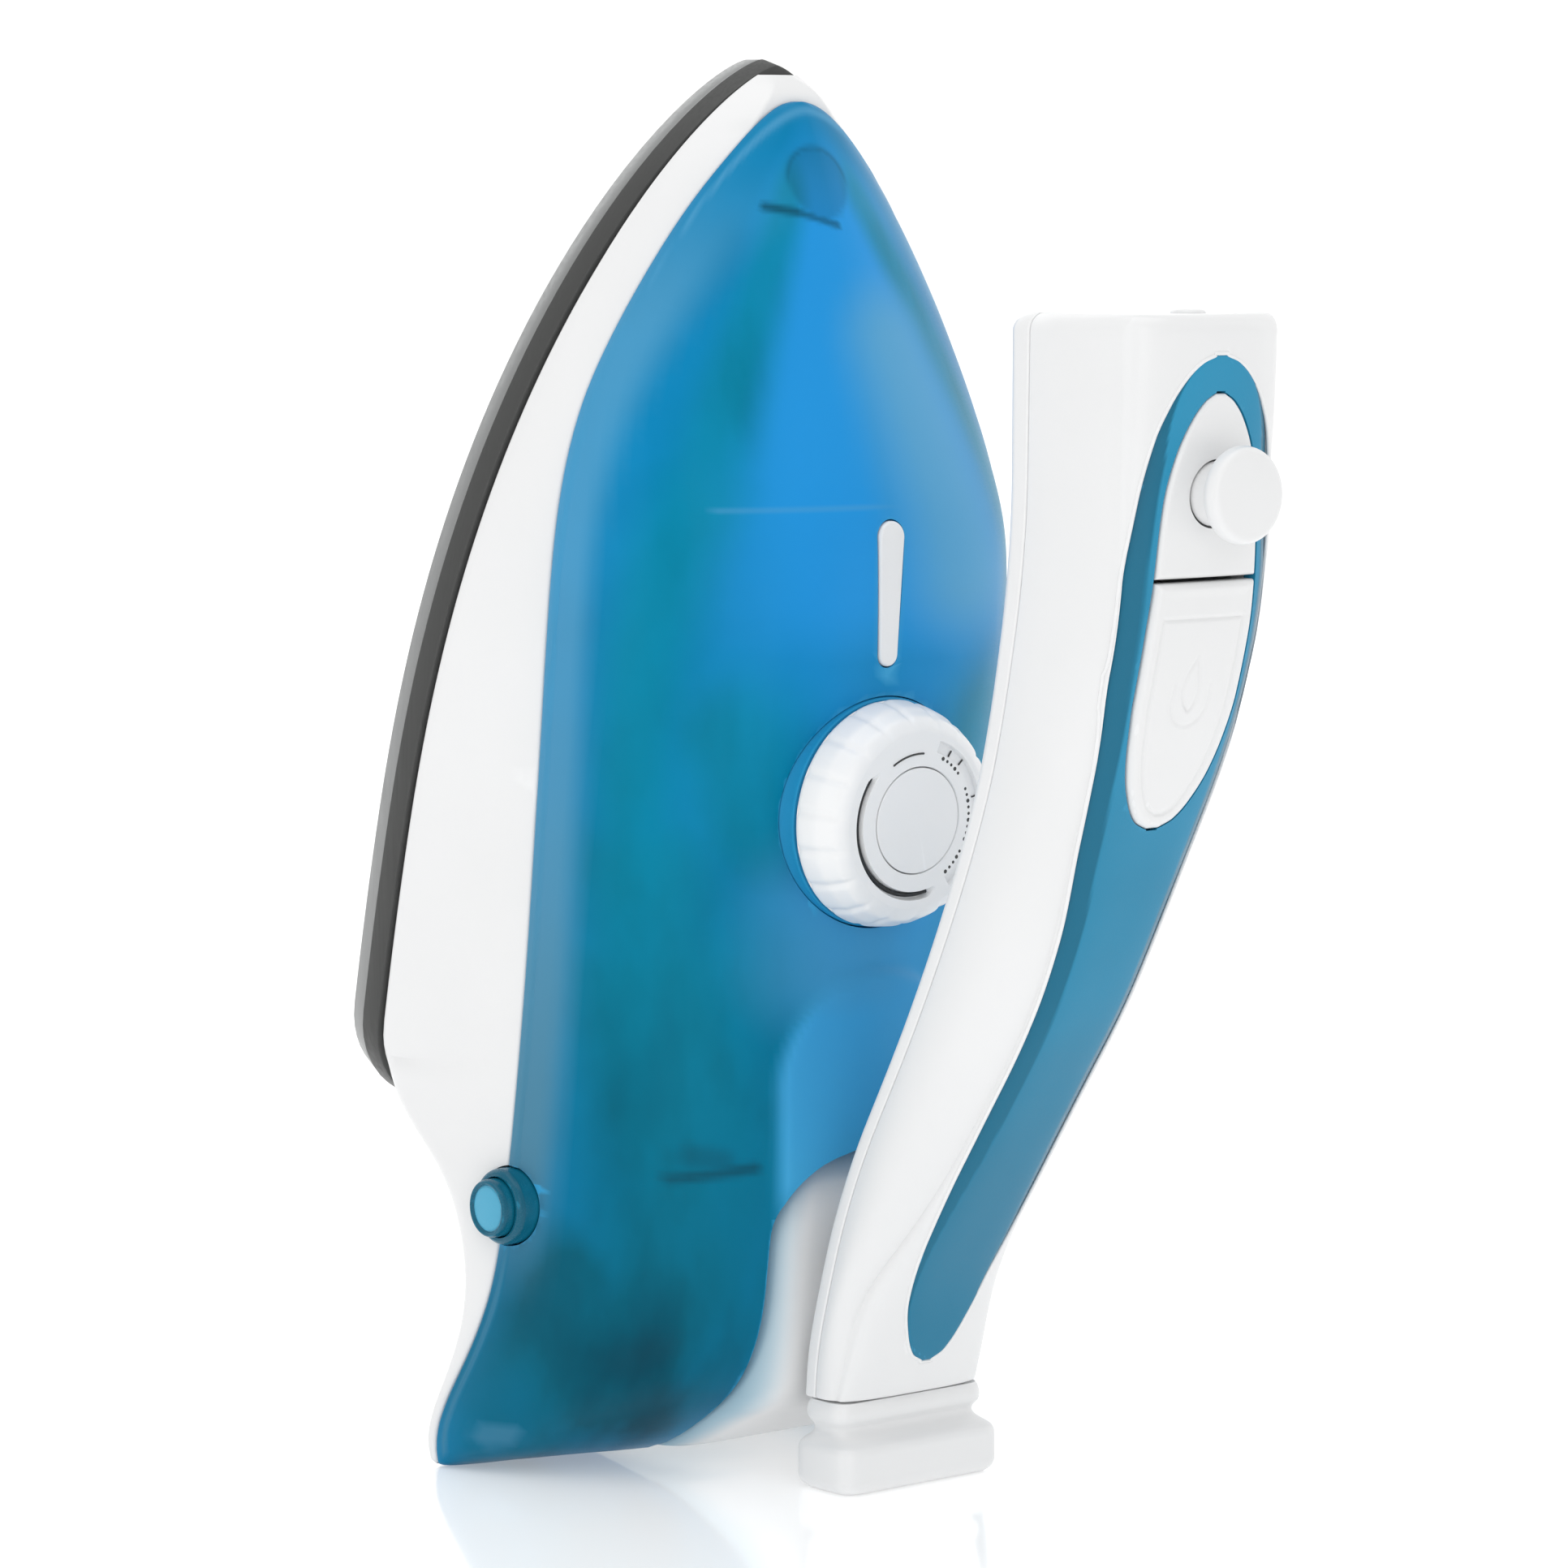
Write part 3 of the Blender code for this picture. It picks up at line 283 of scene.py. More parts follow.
def loft(name, rings, material=None, sharp=32):
    """A closed body through rings of (x, out, up) points, all with the same count."""
    bm = bmesh.new()
    made = [[bm.verts.new(world(p)) for p in ring] for ring in rings]
    for low, high in zip(made, made[1:]):
        strip(bm, low, high)
    bm.faces.new(made[0])
    bm.faces.new(made[-1])
    return finish_mesh(name, bm, material, sharp)


def mirrored(half, up):
    """A ring at one height from its points at x >= 0, back centre to front centre."""
    right = [(x, out, up) for x, out in half]
    left = [(-x, out, up) for x, out in reversed(half) if x > 1e-6]
    return right + left


def soften(points, radii, steps=5):
    """The line through 2D points with each inner corner rounded by its radius."""
    made = [points[0]]
    for before, corner, after, radius in zip(points, points[1:], points[2:], radii):
        here = Vector(corner)
        back, ahead = Vector(before) - here, Vector(after) - here
        start = here + back * min(0.48, radius / max(back.length, 1e-6))
        end = here + ahead * min(0.48, radius / max(ahead.length, 1e-6))
        for k in range(steps + 1):
            t = k / steps
            made.append(tuple(start * (1 - t) ** 2 + here * 2 * t * (1 - t) + end * t * t))
    made.append(points[-1])
    return made


def frame_of(axis):
    direction = Vector(axis).normalized()
    side = direction.orthogonal().normalized()
    return direction, side, direction.cross(side)


def turned(name, profile, base, axis, material=None, sides=64, relief=None, sharp=32):
    """A body turned about an axis. The profile is a closed loop of (radius, along); relief moves a point."""
    direction, side, other = frame_of(axis)
    start = world(base)
    bm = bmesh.new()
    columns = []
    for k in range(sides):
        angle = 2 * math.pi * k / sides
        ray = side * math.cos(angle) + other * math.sin(angle)
        column = []
        for radius, along in profile:
            if relief:
                radius, along = relief(radius, along, angle)
            column.append(bm.verts.new(start + (ray * radius + direction * along) * 0.001))
        columns.append(column)
    for k in range(sides):
        strip(bm, columns[k], columns[(k + 1) % sides])
    return finish_mesh(name, bm, material, sharp)


def rod(name, radius, start, end, material=None, sides=32):
    length = (world(end) - world(start)).length * 1000
    profile = [(0.0, 0.0), (radius, 0.0), (radius, length), (0.0, length)]
    return turned(name, profile, start, world(end) - world(start), material, sides)


def tube(name, path, radius, material, sides=8, closed=False):
    """A round bead along a path of (x, out, up) points."""
    points = [world(p) for p in path]
    count = len(points)
    bm = bmesh.new()
    made = []
    side = None
    for k, point in enumerate(points):
        if closed:
            ahead = points[(k + 1) % count] - points[k - 1]
        else:
            ahead = points[min(k + 1, count - 1)] - points[max(k - 1, 0)]
        ahead.normalize()
        side = ahead.orthogonal() if side is None else side - ahead * side.dot(ahead)
        side.normalize()
        other = ahead.cross(side)
        turns = [2 * math.pi * i / sides for i in range(sides)]
        made.append([
            bm.verts.new(point + (side * math.cos(a) + other * math.sin(a)) * radius * 0.001) for a in turns
        ])
    pairs = list(zip(made, made[1:]))
    if closed:
        first, last = made[0], made[-1]
        shift = min(range(sides), key=lambda s: (first[s].co - last[0].co).length)
        pairs.append((last, first[shift:] + first[:shift]))
    for low, high in pairs:
        strip(bm, low, high)
    if not closed:
        bm.faces.new(made[0])
        bm.faces.new(made[-1])
    return finish_mesh(name, bm, material, 60)


def combine(target, tool, operation, sharp=32):
    """Boolean of target with tool, baked into target. The tool is removed."""
    step = target.modifiers.new("step", "BOOLEAN")
    step.operation = operation
    step.solver = "EXACT"
    step.object = tool
    graph = bpy.context.evaluated_depsgraph_get()
    baked = bpy.data.meshes.new_from_object(target.evaluated_get(graph))
    target.modifiers.clear()
    target.data = baked
    bpy.data.objects.remove(tool, do_unlink=True)
    smooth(target, sharp)
    return target


def cut(target, tool):
    return combine(target, tool, "DIFFERENCE")


def join(target, tool):
    return combine(target, tool, "UNION")


def drill(target, radius, start, end, sides=32):
    """A round hole in target between two points."""
    return cut(target, rod("tool", radius, start, end, sides=sides))


def paint(piece, name, share):
    """A value, or a colour of three values, on each corner of the mesh, from its (x, out, up)."""
    points = [v.co for v in piece.data.vertices]
    values = [share(p.x * 1000, MID_OUT - p.y * 1000, p.z * 1000) for p in points]
    wide = isinstance(values[0], tuple)
    layer = piece.data.attributes.new(name, "FLOAT_COLOR" if wide else "FLOAT", "POINT")
    for item, value in zip(layer.data, values):
        if wide:
            item.color = (*value, 1.0)
        else:
            item.value = value


def show(piece, body, slot, *nodes):
    """The piece rides on a body and stands for its CAD nodes. Its slot argument is not used."""
    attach(piece, body)
    if nodes:
        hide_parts(*nodes)
    return piece


# ---------------------------------------------------------------- material helpers
def add(tree, kind, inputs=(), **settings):
    """A shader node. Inputs are (socket, value or output socket) pairs."""
    made = tree.nodes.new(kind)
    for name, value in settings.items():
        setattr(made, name, value)
    for socket, value in inputs:
        if isinstance(value, bpy.types.NodeSocket):
            tree.links.new(value, made.inputs[socket])
        else:
            made.inputs[socket].default_value = value
    return made


def start_material(name, settings):
    """A material with constants on its Principled shader, and object coordinates."""
    material = bpy.data.materials.new(name)
    material.use_nodes = True
    tree = material.node_tree
    shader = tree.nodes["Principled BSDF"]
    for socket, value in settings.items():
        shader.inputs[socket].default_value = value
    where = add(tree, "ShaderNodeTexCoord").outputs["Object"]
    return material, tree, shader, where


def noise(tree, where, scale, detail=2.0, stretch=None):
    """Noise in 0..1 with features of about 1 / scale metres."""
    if stretch:
        where = add(tree, "ShaderNodeMapping", [("Vector", where), ("Scale", stretch)]).outputs[0]
    return add(
        tree, "ShaderNodeTexNoise", [("Vector", where), ("Scale", scale), ("Detail", detail)]
    ).outputs["Fac"]


def remap(tree, value, low, high, to_low, to_high):
    return add(
        tree, "ShaderNodeMapRange",
        [("Value", value), ("From Min", low), ("From Max", high), ("To Min", to_low), ("To Max", to_high)],
    ).outputs["Result"]


def mix(tree, share, first, second, blend="MIX"):
    """Colour mix. The two colours may be tuples or sockets."""
    made = add(tree, "ShaderNodeMix", data_type="RGBA", blend_type=blend)
    for socket, value in ((0, share), (6, first), (7, second)):
        if isinstance(value, bpy.types.NodeSocket):
            tree.links.new(value, made.inputs[socket])
        elif socket:
            made.inputs[socket].default_value = (*value, 1.0)
        else:
            made.inputs[socket].default_value = value
    return made.outputs[2]


def grain_bump(tree, shader, height, strength, distance):
    bump = add(
        tree, "ShaderNodeBump", [("Height", height), ("Strength", strength), ("Distance", distance)]
    )
    tree.links.new(bump.outputs[0], shader.inputs["Normal"])


def edge_share(tree, low=0.515, high=0.56):
    """How far a spot is on a convex edge, from 0 to 1."""
    point = add(tree, "ShaderNodeNewGeometry").outputs["Pointiness"]
    return remap(tree, point, low, high, 0.0, 1.0)


def plastic(
    name, colour, rough, grain=3500.0, depth=0.00003, coat=0.25, worn=1.08, tint=0.04, border=None, level=0.5
):
    """Moulded plastic: fine grain, slow colour drift, polished lighter edges and a second colour from the
    border attribute, which on the pylon is painted light from the tank and on the grip darkens its border and
    lower part.
    """
    settings = {"Coat Weight": coat, "Coat Roughness": 0.18, "IOR": 1.48, "Specular IOR Level": level}
    material, tree, shader, where = start_material(name, settings)
    slow = noise(tree, where, 28.0)
    dark = tuple(c * (1 - tint) for c in colour)
    light = tuple(min(1.0, c * (1 + tint)) for c in colour)
    base = mix(tree, remap(tree, slow, 0.35, 0.65, 0.0, 1.0), dark, light)
    # The border colour is painted light from the tank on the pylon; on the grip it darkens the border and the
    # lower part.
    if border:
        painted = add(tree, "ShaderNodeAttribute", attribute_name="border")
        base = mix(tree, painted.outputs["Fac"], base, border)
    edge = edge_share(tree)
    wear = noise(tree, where, 420.0, 3.0)
    scuffed = add(tree, "ShaderNodeMath", [(0, edge), (1, wear)], operation="MULTIPLY").outputs[0]
    base = mix(tree, scuffed, base, tuple(min(1.0, c * worn + 0.01) for c in colour))
    tree.links.new(base, shader.inputs["Base Color"])
    fine = noise(tree, where, grain, 2.0)
    patchy = noise(tree, where, 160.0, 3.0)
    spread = add(tree, "ShaderNodeMath", [(0, fine), (1, patchy)], operation="ADD").outputs[0]
    tree.links.new(remap(tree, spread, 0.6, 1.4, rough * 0.88, rough * 1.12), shader.inputs["Roughness"])
    grain_bump(tree, shader, fine, 0.25, depth)
    return material


def metal(name, colour, rough, stretch=(1.0, 1.0, 0.04), scale=2600.0, metallic=1.0, worn=True):
    """Metal with fine drawn lines along its length, darker stains and, where worn, brighter edges."""
    material, tree, shader, where = start_material(name, {"Metallic": metallic})
    lines = noise(tree, where, scale, 3.0, stretch)
    stain = noise(tree, where, 60.0, 3.0)
    base = mix(tree, remap(tree, lines, 0.3, 0.7, 0.0, 1.0), tuple(c * 0.86 for c in colour), colour)
    base = mix(tree, remap(tree, stain, 0.5, 0.75, 0.0, 0.35), base, tuple(c * 0.7 for c in colour))
    if worn:
        base = mix(tree, edge_share(tree), base, tuple(min(1.0, c * 1.35) for c in colour))
    tree.links.new(base, shader.inputs["Base Color"])
    tree.links.new(remap(tree, lines, 0.3, 0.7, rough * 0.8, rough * 1.25), shader.inputs["Roughness"])
    grain_bump(tree, shader, lines, 0.3, 0.00003)
    return material


# ---------------------------------------------------------------- materials
WHITE_COLOUR = (0.80, 0.804, 0.807)
WHITE = plastic("white_plastic", WHITE_COLOUR, 0.34, tint=0.012)
# Lighter copy of the white plastic for the dial: painted light against the handle's shade.
DIAL_WHITE_LIT = plastic("dial_white_painted_light", (0.88, 0.884, 0.887), 0.32, tint=0.012)
# White plastic with painted light near the tank's edge: blue light that comes through the tank.
WHITE_TANK_LIGHT = plastic("white_plastic_tank_light", WHITE_COLOUR, 0.34, tint=0.012, border=(0.08, 0.33, 0.47))
GRIP = plastic(
    "grip_blue", (0.016, 0.255, 0.44), 0.36, grain=4200.0, depth=0.00005, coat=0.08, tint=0.07,
    border=(0.000, 0.135, 0.235), level=0.3,
)
TEAL = plastic("release_teal", (0.000, 0.10, 0.165), 0.26, coat=0.12, tint=0.10, worn=1.9, level=0.25)
TEAL_LIGHT = plastic(
    "release_disc_blue", (0.06, 0.36, 0.54), 0.3, coat=0.15, tint=0.08, worn=1.6, level=0.3
)
INNER = plastic("inner_plastic", (0.62, 0.68, 0.70), 0.5, tint=0.05)
INNER_DARK = plastic("inner_dark_plastic", (0.02, 0.10, 0.14), 0.5, tint=0.15)
CERAMIC = plastic("ceramic", (0.72, 0.69, 0.62), 0.55, grain=2200.0, depth=0.00008, coat=0.0, tint=0.06)
AMBER = plastic("amber_lens", (0.62, 0.22, 0.05), 0.18, tint=0.10, coat=0.6)
RUBBER = plastic("gland_rubber", (0.62, 0.625, 0.63), 0.62, grain=6000.0, depth=0.00006, coat=0.0, tint=0.04)
MARK = plastic("dial_marking", (0.035, 0.036, 0.036), 0.5, tint=0.2, coat=0.0)
GAP_DARK = plastic("gap_shadow", (0.02, 0.022, 0.024), 0.6, tint=0.2, coat=0.0)
SOLE_FACE = metal("sole_face_aluminium", (0.50, 0.505, 0.51), 0.32, scale=1800.0, worn=False)
SOLE_EDGE = metal("sole_edge_aluminium", (0.27, 0.275, 0.275), 0.42, scale=1800.0, metallic=0.85)
# Dark copy of the sole's metal for its upright edge: painted shade.
SOLE_SHADED_BAND = metal("sole_band_painted_shade", (0.062, 0.063, 0.062), 0.46, scale=1800.0, metallic=0.6)
STEEL = metal("steel", (0.58, 0.59, 0.60), 0.3)
SHEET = metal("sheet_steel", (0.60, 0.60, 0.58), 0.38, scale=1400.0)


def tank_material():
    """Frosted blue wall, coloured by painted shares: dark for parts behind it and painted shade, pale partly
    painted light with a painted highlight line, bright painted light, and ink strokes for parts pressed
    against it.
    """
    settings = {
        "Transmission Weight": 0.18, "IOR": 1.46, "Specular IOR Level": 0.25,
        "Specular Tint": (0.15, 0.75, 1.0, 1.0), "Coat Weight": 0.05, "Coat Roughness": 0.14,
    }
    material, tree, shader, where = start_material("tank_blue", settings)
    painted = add(tree, "ShaderNodeAttribute", attribute_name="behind")
    dark, pale, bright = add(tree, "ShaderNodeSeparateColor", [(0, painted.outputs["Color"])]).outputs
    ink = add(tree, "ShaderNodeAttribute", attribute_name="ink").outputs["Fac"]
    wander = noise(tree, where, 42.0, 3.0)
    streaks = noise(tree, where, 26.0, 4.0, (2.2, 1.0, 0.8))
    height = add(tree, "ShaderNodeSeparateXYZ", [(0, where)]).outputs[2]
    deep = remap(tree, height, 0.105, 0.02, 0.0, 1.0)
    base = mix(tree, remap(tree, wander, 0.35, 0.65, 0.0, 1.0), (0.000, 0.225, 0.47), (0.003, 0.265, 0.56))
    # The bright share is painted light.
    base = mix(tree, bright, base, mix(tree, deep, (0.022, 0.35, 0.84), (0.085, 0.56, 0.95)))
    broken = remap(tree, streaks, 0.32, 0.62, 0.78, 1.2)
    share = add(tree, "ShaderNodeMath", [(0, dark), (1, broken)], operation="MULTIPLY", use_clamp=True)
    cloud = remap(tree, streaks, 0.42, 0.66, 0.0, 1.0)
    high_teal = mix(tree, cloud, (0.000, 0.265, 0.42), (0.000, 0.20, 0.32))
    low_teal = mix(tree, cloud, (0.000, 0.125, 0.20), (0.000, 0.048, 0.082))
    # The dark share is parts behind the wall with the dial's painted shadow, darker towards the bottom.
    base = mix(tree, share.outputs[0], base, mix(tree, deep, high_teal, low_teal))
    greyer = remap(tree, height, 0.135, 0.06, 0.0, 1.0)
    # The pale share is partly painted light and a painted highlight line along the rim.
    base = mix(tree, pale, base, mix(tree, greyer, (0.125, 0.43, 0.70), (0.100, 0.265, 0.38)))
    base = mix(tree, ink, base, (0.004, 0.060, 0.10))
    # Lighter blue on convex edges is a painted highlight.
    base = mix(tree, edge_share(tree, 0.53, 0.6), base, (0.06, 0.42, 0.75))
    tree.links.new(base, shader.inputs["Base Color"])
    fine = noise(tree, where, 4200.0, 2.0)
    tree.links.new(remap(tree, fine, 0.3, 0.7, 0.30, 0.40), shader.inputs["Roughness"])
    grain_bump(tree, shader, fine, 0.2, 0.00003)
    return material


TANK = tank_material()
NODE_LOOKS = {
    STEEL: (
        "heating_element", "thermal_fuse", "hinge_pin", "thermostat_shaft", "sole_screw_nose",
        "sole_screw_left", "sole_screw_right", "handle_screw_upper", "handle_screw_middle",
    ),
    SHEET: ("steam_chamber_cover", "heat_shield"),
    CERAMIC: ("thermostat", "terminal_block"),
    AMBER: ("pilot_lamp",),
    INNER: ("steam_pump", "tank_floor", "shaft_tunnel"),
}
for look, names in NODE_LOOKS.items():
    for name in names:
        piece_slots = frame["nodes"][name].data.materials
        piece_slots.clear()
        piece_slots.append(look)


# ---------------------------------------------------------------- soleplate
def sole_outline(inset):
    """Outline points (x, along) of the sole, moved inwards by inset."""
    corner = SOLE_LENGTH - HEEL_RADIUS
    marks = [0.05, 0.2, 0.5, 1.0, 1.7, 2.6, 3.7, 5.0, 6.6, 8.5, 11, 14, 17] + spaced(20, corner - 2, 3.0)
    half = [(0.0, 0.0)] + [(sole_half(m), m) for m in marks]
    for k in range(0, 13):
        turn = math.radians(7.5 * k)
        along = corner + HEEL_RADIUS * math.sin(turn)
        half.append((sole_half(along), along))
    right = [(0.0, inset)]
    for k in range(1, len(half)):
        ahead, behind = half[min(k + 1, len(half) - 1)], half[k - 1]
        run = Vector((ahead[0] - behind[0], ahead[1] - behind[1])).normalized()
        if k == len(half) - 1:
            run = Vector((-1.0, 0.0))
        x, along = half[k]
        right.append((max(x - inset * run.y, 0.02), along + inset * run.x))
    return right + [(-x, along) for x, along in reversed(right) if x > 1e-6]


def sole_piece(name, profile, material):
    rings = [[on_sole(x, along, off) for x, along in sole_outline(inset)] for off, inset in profile]
    return loft(name, rings, material, 40)


VENT_RADIUS, VENT_DEPTH = 1.4, 3.4
VENTS = ((26, 9), (48, 21), (72, 28), (98, 31), (124, 30))  # distance from the nose, from the middle


def soleplate():
    """The bright casting with its bevelled edge, and the band that seats it in the skirt, painted dark as the
    shade of its upright face.
    """
    profile = [(0.0, 1.9), (0.08, 1.5), (0.25, 1.2), (0.6, 0.95), (3.6, 0.25), (3.85, 0.3), (4.0, 0.5)]
    face = sole_piece("sole_casting", profile, SOLE_EDGE)
    face.data.materials.append(SOLE_FACE)
    for along, spread in VENTS:
        for x in (-spread, spread):
            drill(face, VENT_RADIUS, on_sole(x, along, -2.0), on_sole(x, along, VENT_DEPTH), 24)
    level = world(on_sole(0, 60, 0.0))
    normal = (world(on_sole(0, 60, 1.0)) - level).normalized()
    for polygon in face.data.polygons:
        if (polygon.center - level).dot(normal) < 0.00004:
            polygon.material_index = 1
    show(face, "iron_body", "sole_aluminium", "soleplate")
    # The dark band is painted shade of the sole's upright face.
    band = [(4.0, 0.75), (4.1, 0.25), (4.3, 0.03), (7.6, 0.12), (7.85, 0.2), (8.0, 0.45)]
    show(sole_piece("sole_band", band, SOLE_SHADED_BAND), "iron_body", "sole_aluminium", "soleplate")


# ---------------------------------------------------------------- skirt
def skirt_half(up):
    """Half section of the skirt at a height: back half width and out, side half width and out."""
    if up <= HEEL_SECTIONS[-1][0]:
        return [line("heel_" + str(k), up, 1.5) for k in range(1, 5)]
    off = SOLE_THICK + GAP
    along = (TIP_UP - up - off * math.sin(LEAN)) / math.cos(LEAN)
    out = TIP_OUT + off * math.cos(LEAN) - along * math.sin(LEAN)
    half = sole_half(along)
    share = min(1.0, half / 30)
    return [half - 0.8 * share, out, half - 0.2 * share, out + 1.6 * share]


def skirt_front(up):
    """Half width and out of the face that the tank sits on."""
    half = line("skirt_nose", up) if up > 200 else line("tank_half", up)
    return half + 0.15, line("joint_out", up) - GAP


def skirt_ring(up, pull=0.0):
    back_half, back_out, side_half, side_out = skirt_half(up)
    front_half, front_out = skirt_front(up)
    middle = (0.5 * (side_half + front_half) + 0.25, 0.5 * (side_out + front_out))
    half = soften(
        [
            (0.0, back_out + pull), (back_half - pull, back_out + pull), (side_half - pull, side_out + pull),
            (middle[0] - pull, middle[1]), (front_half - pull, front_out - pull), (0.0, front_out - pull),
        ],
        (1.6, 2.4, 6.0, 0.5),
    )
    near_back, near_front = (0.5 * half[1][0], half[1][1]), (0.5 * half[-2][0], half[-2][1])
    return mirrored([half[0], near_back, *half[1:-1], near_front, half[-1]], up)


def skirt_hollow(up):
    """Half section of the space inside the skirt, open toward the sole."""
    back_half, back_out, side_half, side_out = skirt_half(up)
    front_half, front_out = skirt_front(up)
    half = [
        (0.0, back_out - 4), (back_half - 2.6, back_out - 4), (side_half - 3.0, side_out + 1.0),
        (front_half - 3.0, front_out - 2.2), (0.0, front_out - 2.2),
    ]
    return mirrored(half, up)


def along_dial(distance):
    """Point on the dial axis at a distance out from the tank."""
    return (0.0, DIAL_OUT + distance * math.cos(DIAL_TILT), DIAL_UP + distance * math.sin(DIAL_TILT))


DIAL_AXIS = (0.0, -math.cos(DIAL_TILT), math.sin(DIAL_TILT))
RELEASE_AXIS = (-1.0, 0.0, 0.0)


def at_release(x):
    return (x, RELEASE_OUT, RELEASE_UP)


def release_hole():
    return rod("tool", 6.0, at_release(-37.5), at_release(-51.0), sides=48)


def skirt():
    heights = rows(
        (0, 1.2, 0.2), (1.2, 64, 1.6), (64, 190, 2.4), (190, 203, 1.0), (203, 208.0, 0.4), (208.0, 208.1, 1)
    )
    made = loft("skirt_cover", [skirt_ring(up, tuck(up, 1.1)) for up in heights], WHITE)
    cut(made, loft("tool", [skirt_hollow(up) for up in (57.5, 66, 80, 98, 116, 138, 160, 176, 188)]))
    drill(made, 3.0, along_dial(-40), along_dial(-20))
    cut(made, release_hole())
    drill(made, 3.2, (0, -14.0, GLAND_UP), (0, -30.0, GLAND_UP))
    drill(made, 6.6, (0, -21.4, GLAND_UP), (0, -34.0, GLAND_UP - 0.6), 48)
    show(made, "iron_body", "white_plastic", "skirt")


# ---------------------------------------------------------------- pylon that carries the handle
def pylon_ring(up, grow=0.0):
    half, front = line("pylon_half", up, 1.5) + grow, line("pylon_out", up, 1.5) + grow
    back = line("joint_out", up) + 0.2 - grow
    points = [(0.0, back), (0.5 * half, back), (half, back)]
    for turn in range(0, 91, 3):
        angle = math.radians(turn)
        x = half * max(math.cos(angle), 0.0) ** (2 / PYLON_SQUARE)
        out = back + (front - back) * (0.25 + 0.75 * math.sin(angle) ** (2 / PYLON_SQUARE))
        points.append((x if turn < 90 else 0.0, out))
    return mirrored(points, up)


def pylon_notch(grow):
    """The room that the pylon takes from its neighbours, open toward the handle."""
    rings = []
    for up in (-6.0, *rows((3, 49.4, 0.8)), 49.4 + grow):
        half = line("pylon_half", up, 1.5) + grow
        half *= 0.8 if up > 49.4 else 1.0
        back = line("joint_out", up) - 1.5
        rings.append([(-half, back, up), (half, back, up), (half, 40.0, up), (-half, 40.0, up)])
    return loft("tool", rings)


def by_tank(x, out, up):
    """How blue the pylon is from the light that comes through the tank's edge."""
    return 0.7 * smooth_step(-5.5, 0.0, abs(x) - line("pylon_half", round(up, 1))) * smooth_step(50, 44, up)


def pylon():
    heights = rows((3, 10, 0.5), (10, 40, 1.5), (40, 49.4, 0.4))
    made = loft("pylon_cover", [pylon_ring(up) for up in heights], WHITE_TANK_LIGHT)
    slot = KNUCKLE_HALF + 0.4
    pocket = [(-slot, 5.0), (slot, 5.0), (slot, 30.0), (-slot, 30.0)]
    cut(made, loft("tool", [[(x, out, up) for x, out in pocket] for up in (16.0, 34.0)]))
    drill(made, PIN_RADIUS + 0.15, (-14.2, PIVOT_OUT, PIVOT_UP), (14.2, PIVOT_OUT, PIVOT_UP))
    paint(made, "border", by_tank)
    show(made, "iron_body", "white_plastic", "pylon")


# ---------------------------------------------------------------- water tank
TANK_TURNS = [0, 0.8, 1.5, 2.0, 2.5, 3.0, 3.6, 4.4, 5.5, 7, 9]  # degrees from the joint to the ridge
TANK_TURNS += spaced(12, 52, 4) + spaced(53.2, 80, 1.25) + [84, 87, 90]
RIM_WIDTH, RIM_RISE = 1.5, 0.35
HUMP_HALF, HUMP_MIDDLE, HUMP_RISE, HUMP_EDGE = 18.4, 58.5, 1.3, 2.0


def hump(x, up):
    """Rise of the arched swelling above the pylon."""
    below = up < HUMP_MIDDLE
    inside = HUMP_HALF - (abs(x) if below else math.hypot(x, up - HUMP_MIDDLE))
    return HUMP_RISE * smooth_step(0.0, HUMP_EDGE, inside) * smooth_step(36.0, 46.0, up)


def tank_ring(up, inset=0.0, below=0.0, turns=TANK_TURNS):
    half, foot, top = line("tank_half", up) - inset, line("joint_out", up), line("tank_top", up) - inset
    power = 2 / line("tank_round", up)
    points = []
    for turn in turns:
        angle = math.radians(turn)
        x = half * math.cos(angle) ** power
        out = foot + (top - foot) * math.sin(angle) ** power
        if not inset:
            x += min(RIM_RISE, 0.04 * half) * (1 - smooth_step(RIM_WIDTH, RIM_WIDTH + 0.6, out - foot))
            out += hump(x, up)
        points.append((x if turn < 90 else 0.0, out))
    half_ring = [(0.0, foot - below), (0.5 * points[0][0], foot - below)]
    if below:
        half_ring.append((points[0][0], foot - below))
    else:
        edge = points.pop(0)
        chamfer = min(RIM_RISE, 0.3 * edge[0], 0.8 * (points[0][1] - foot))
        for inward, rise in ((1, 0), (0.3, 0.3), (0, 1)):
            half_ring.append((edge[0] - inward * chamfer, foot + rise * chamfer))
    return mirrored(half_ring + points, up)


WINDOW_ENDS = ((140.3, 2.4, -90), (122.9, 1.7, 90))  # height, radius and first angle of each round end


def window_body(grow, low, high, edge=0.0):
    """Rings of a tapered pill on the ridge between two depths from the surface."""
    def outline(extra):
        points = []
        for centre, radius, first in WINDOW_ENDS:
            for k in range(17):
                angle, reach = math.radians(first + 180 * k / 16), radius + extra
                points.append((reach * math.sin(angle), centre + reach * math.cos(angle)))
        return points

    steps = [(grow, low), (grow, high - edge)]
    if edge:
        for turn in (0.4, 0.8, 1.2, 1.5):
            steps.append((grow - edge * (1 - math.cos(turn)), high - edge + edge * math.sin(turn)))
    return [[(x, line("tank_top", up) + depth, up) for x, up in outline(extra)] for extra, depth in steps]


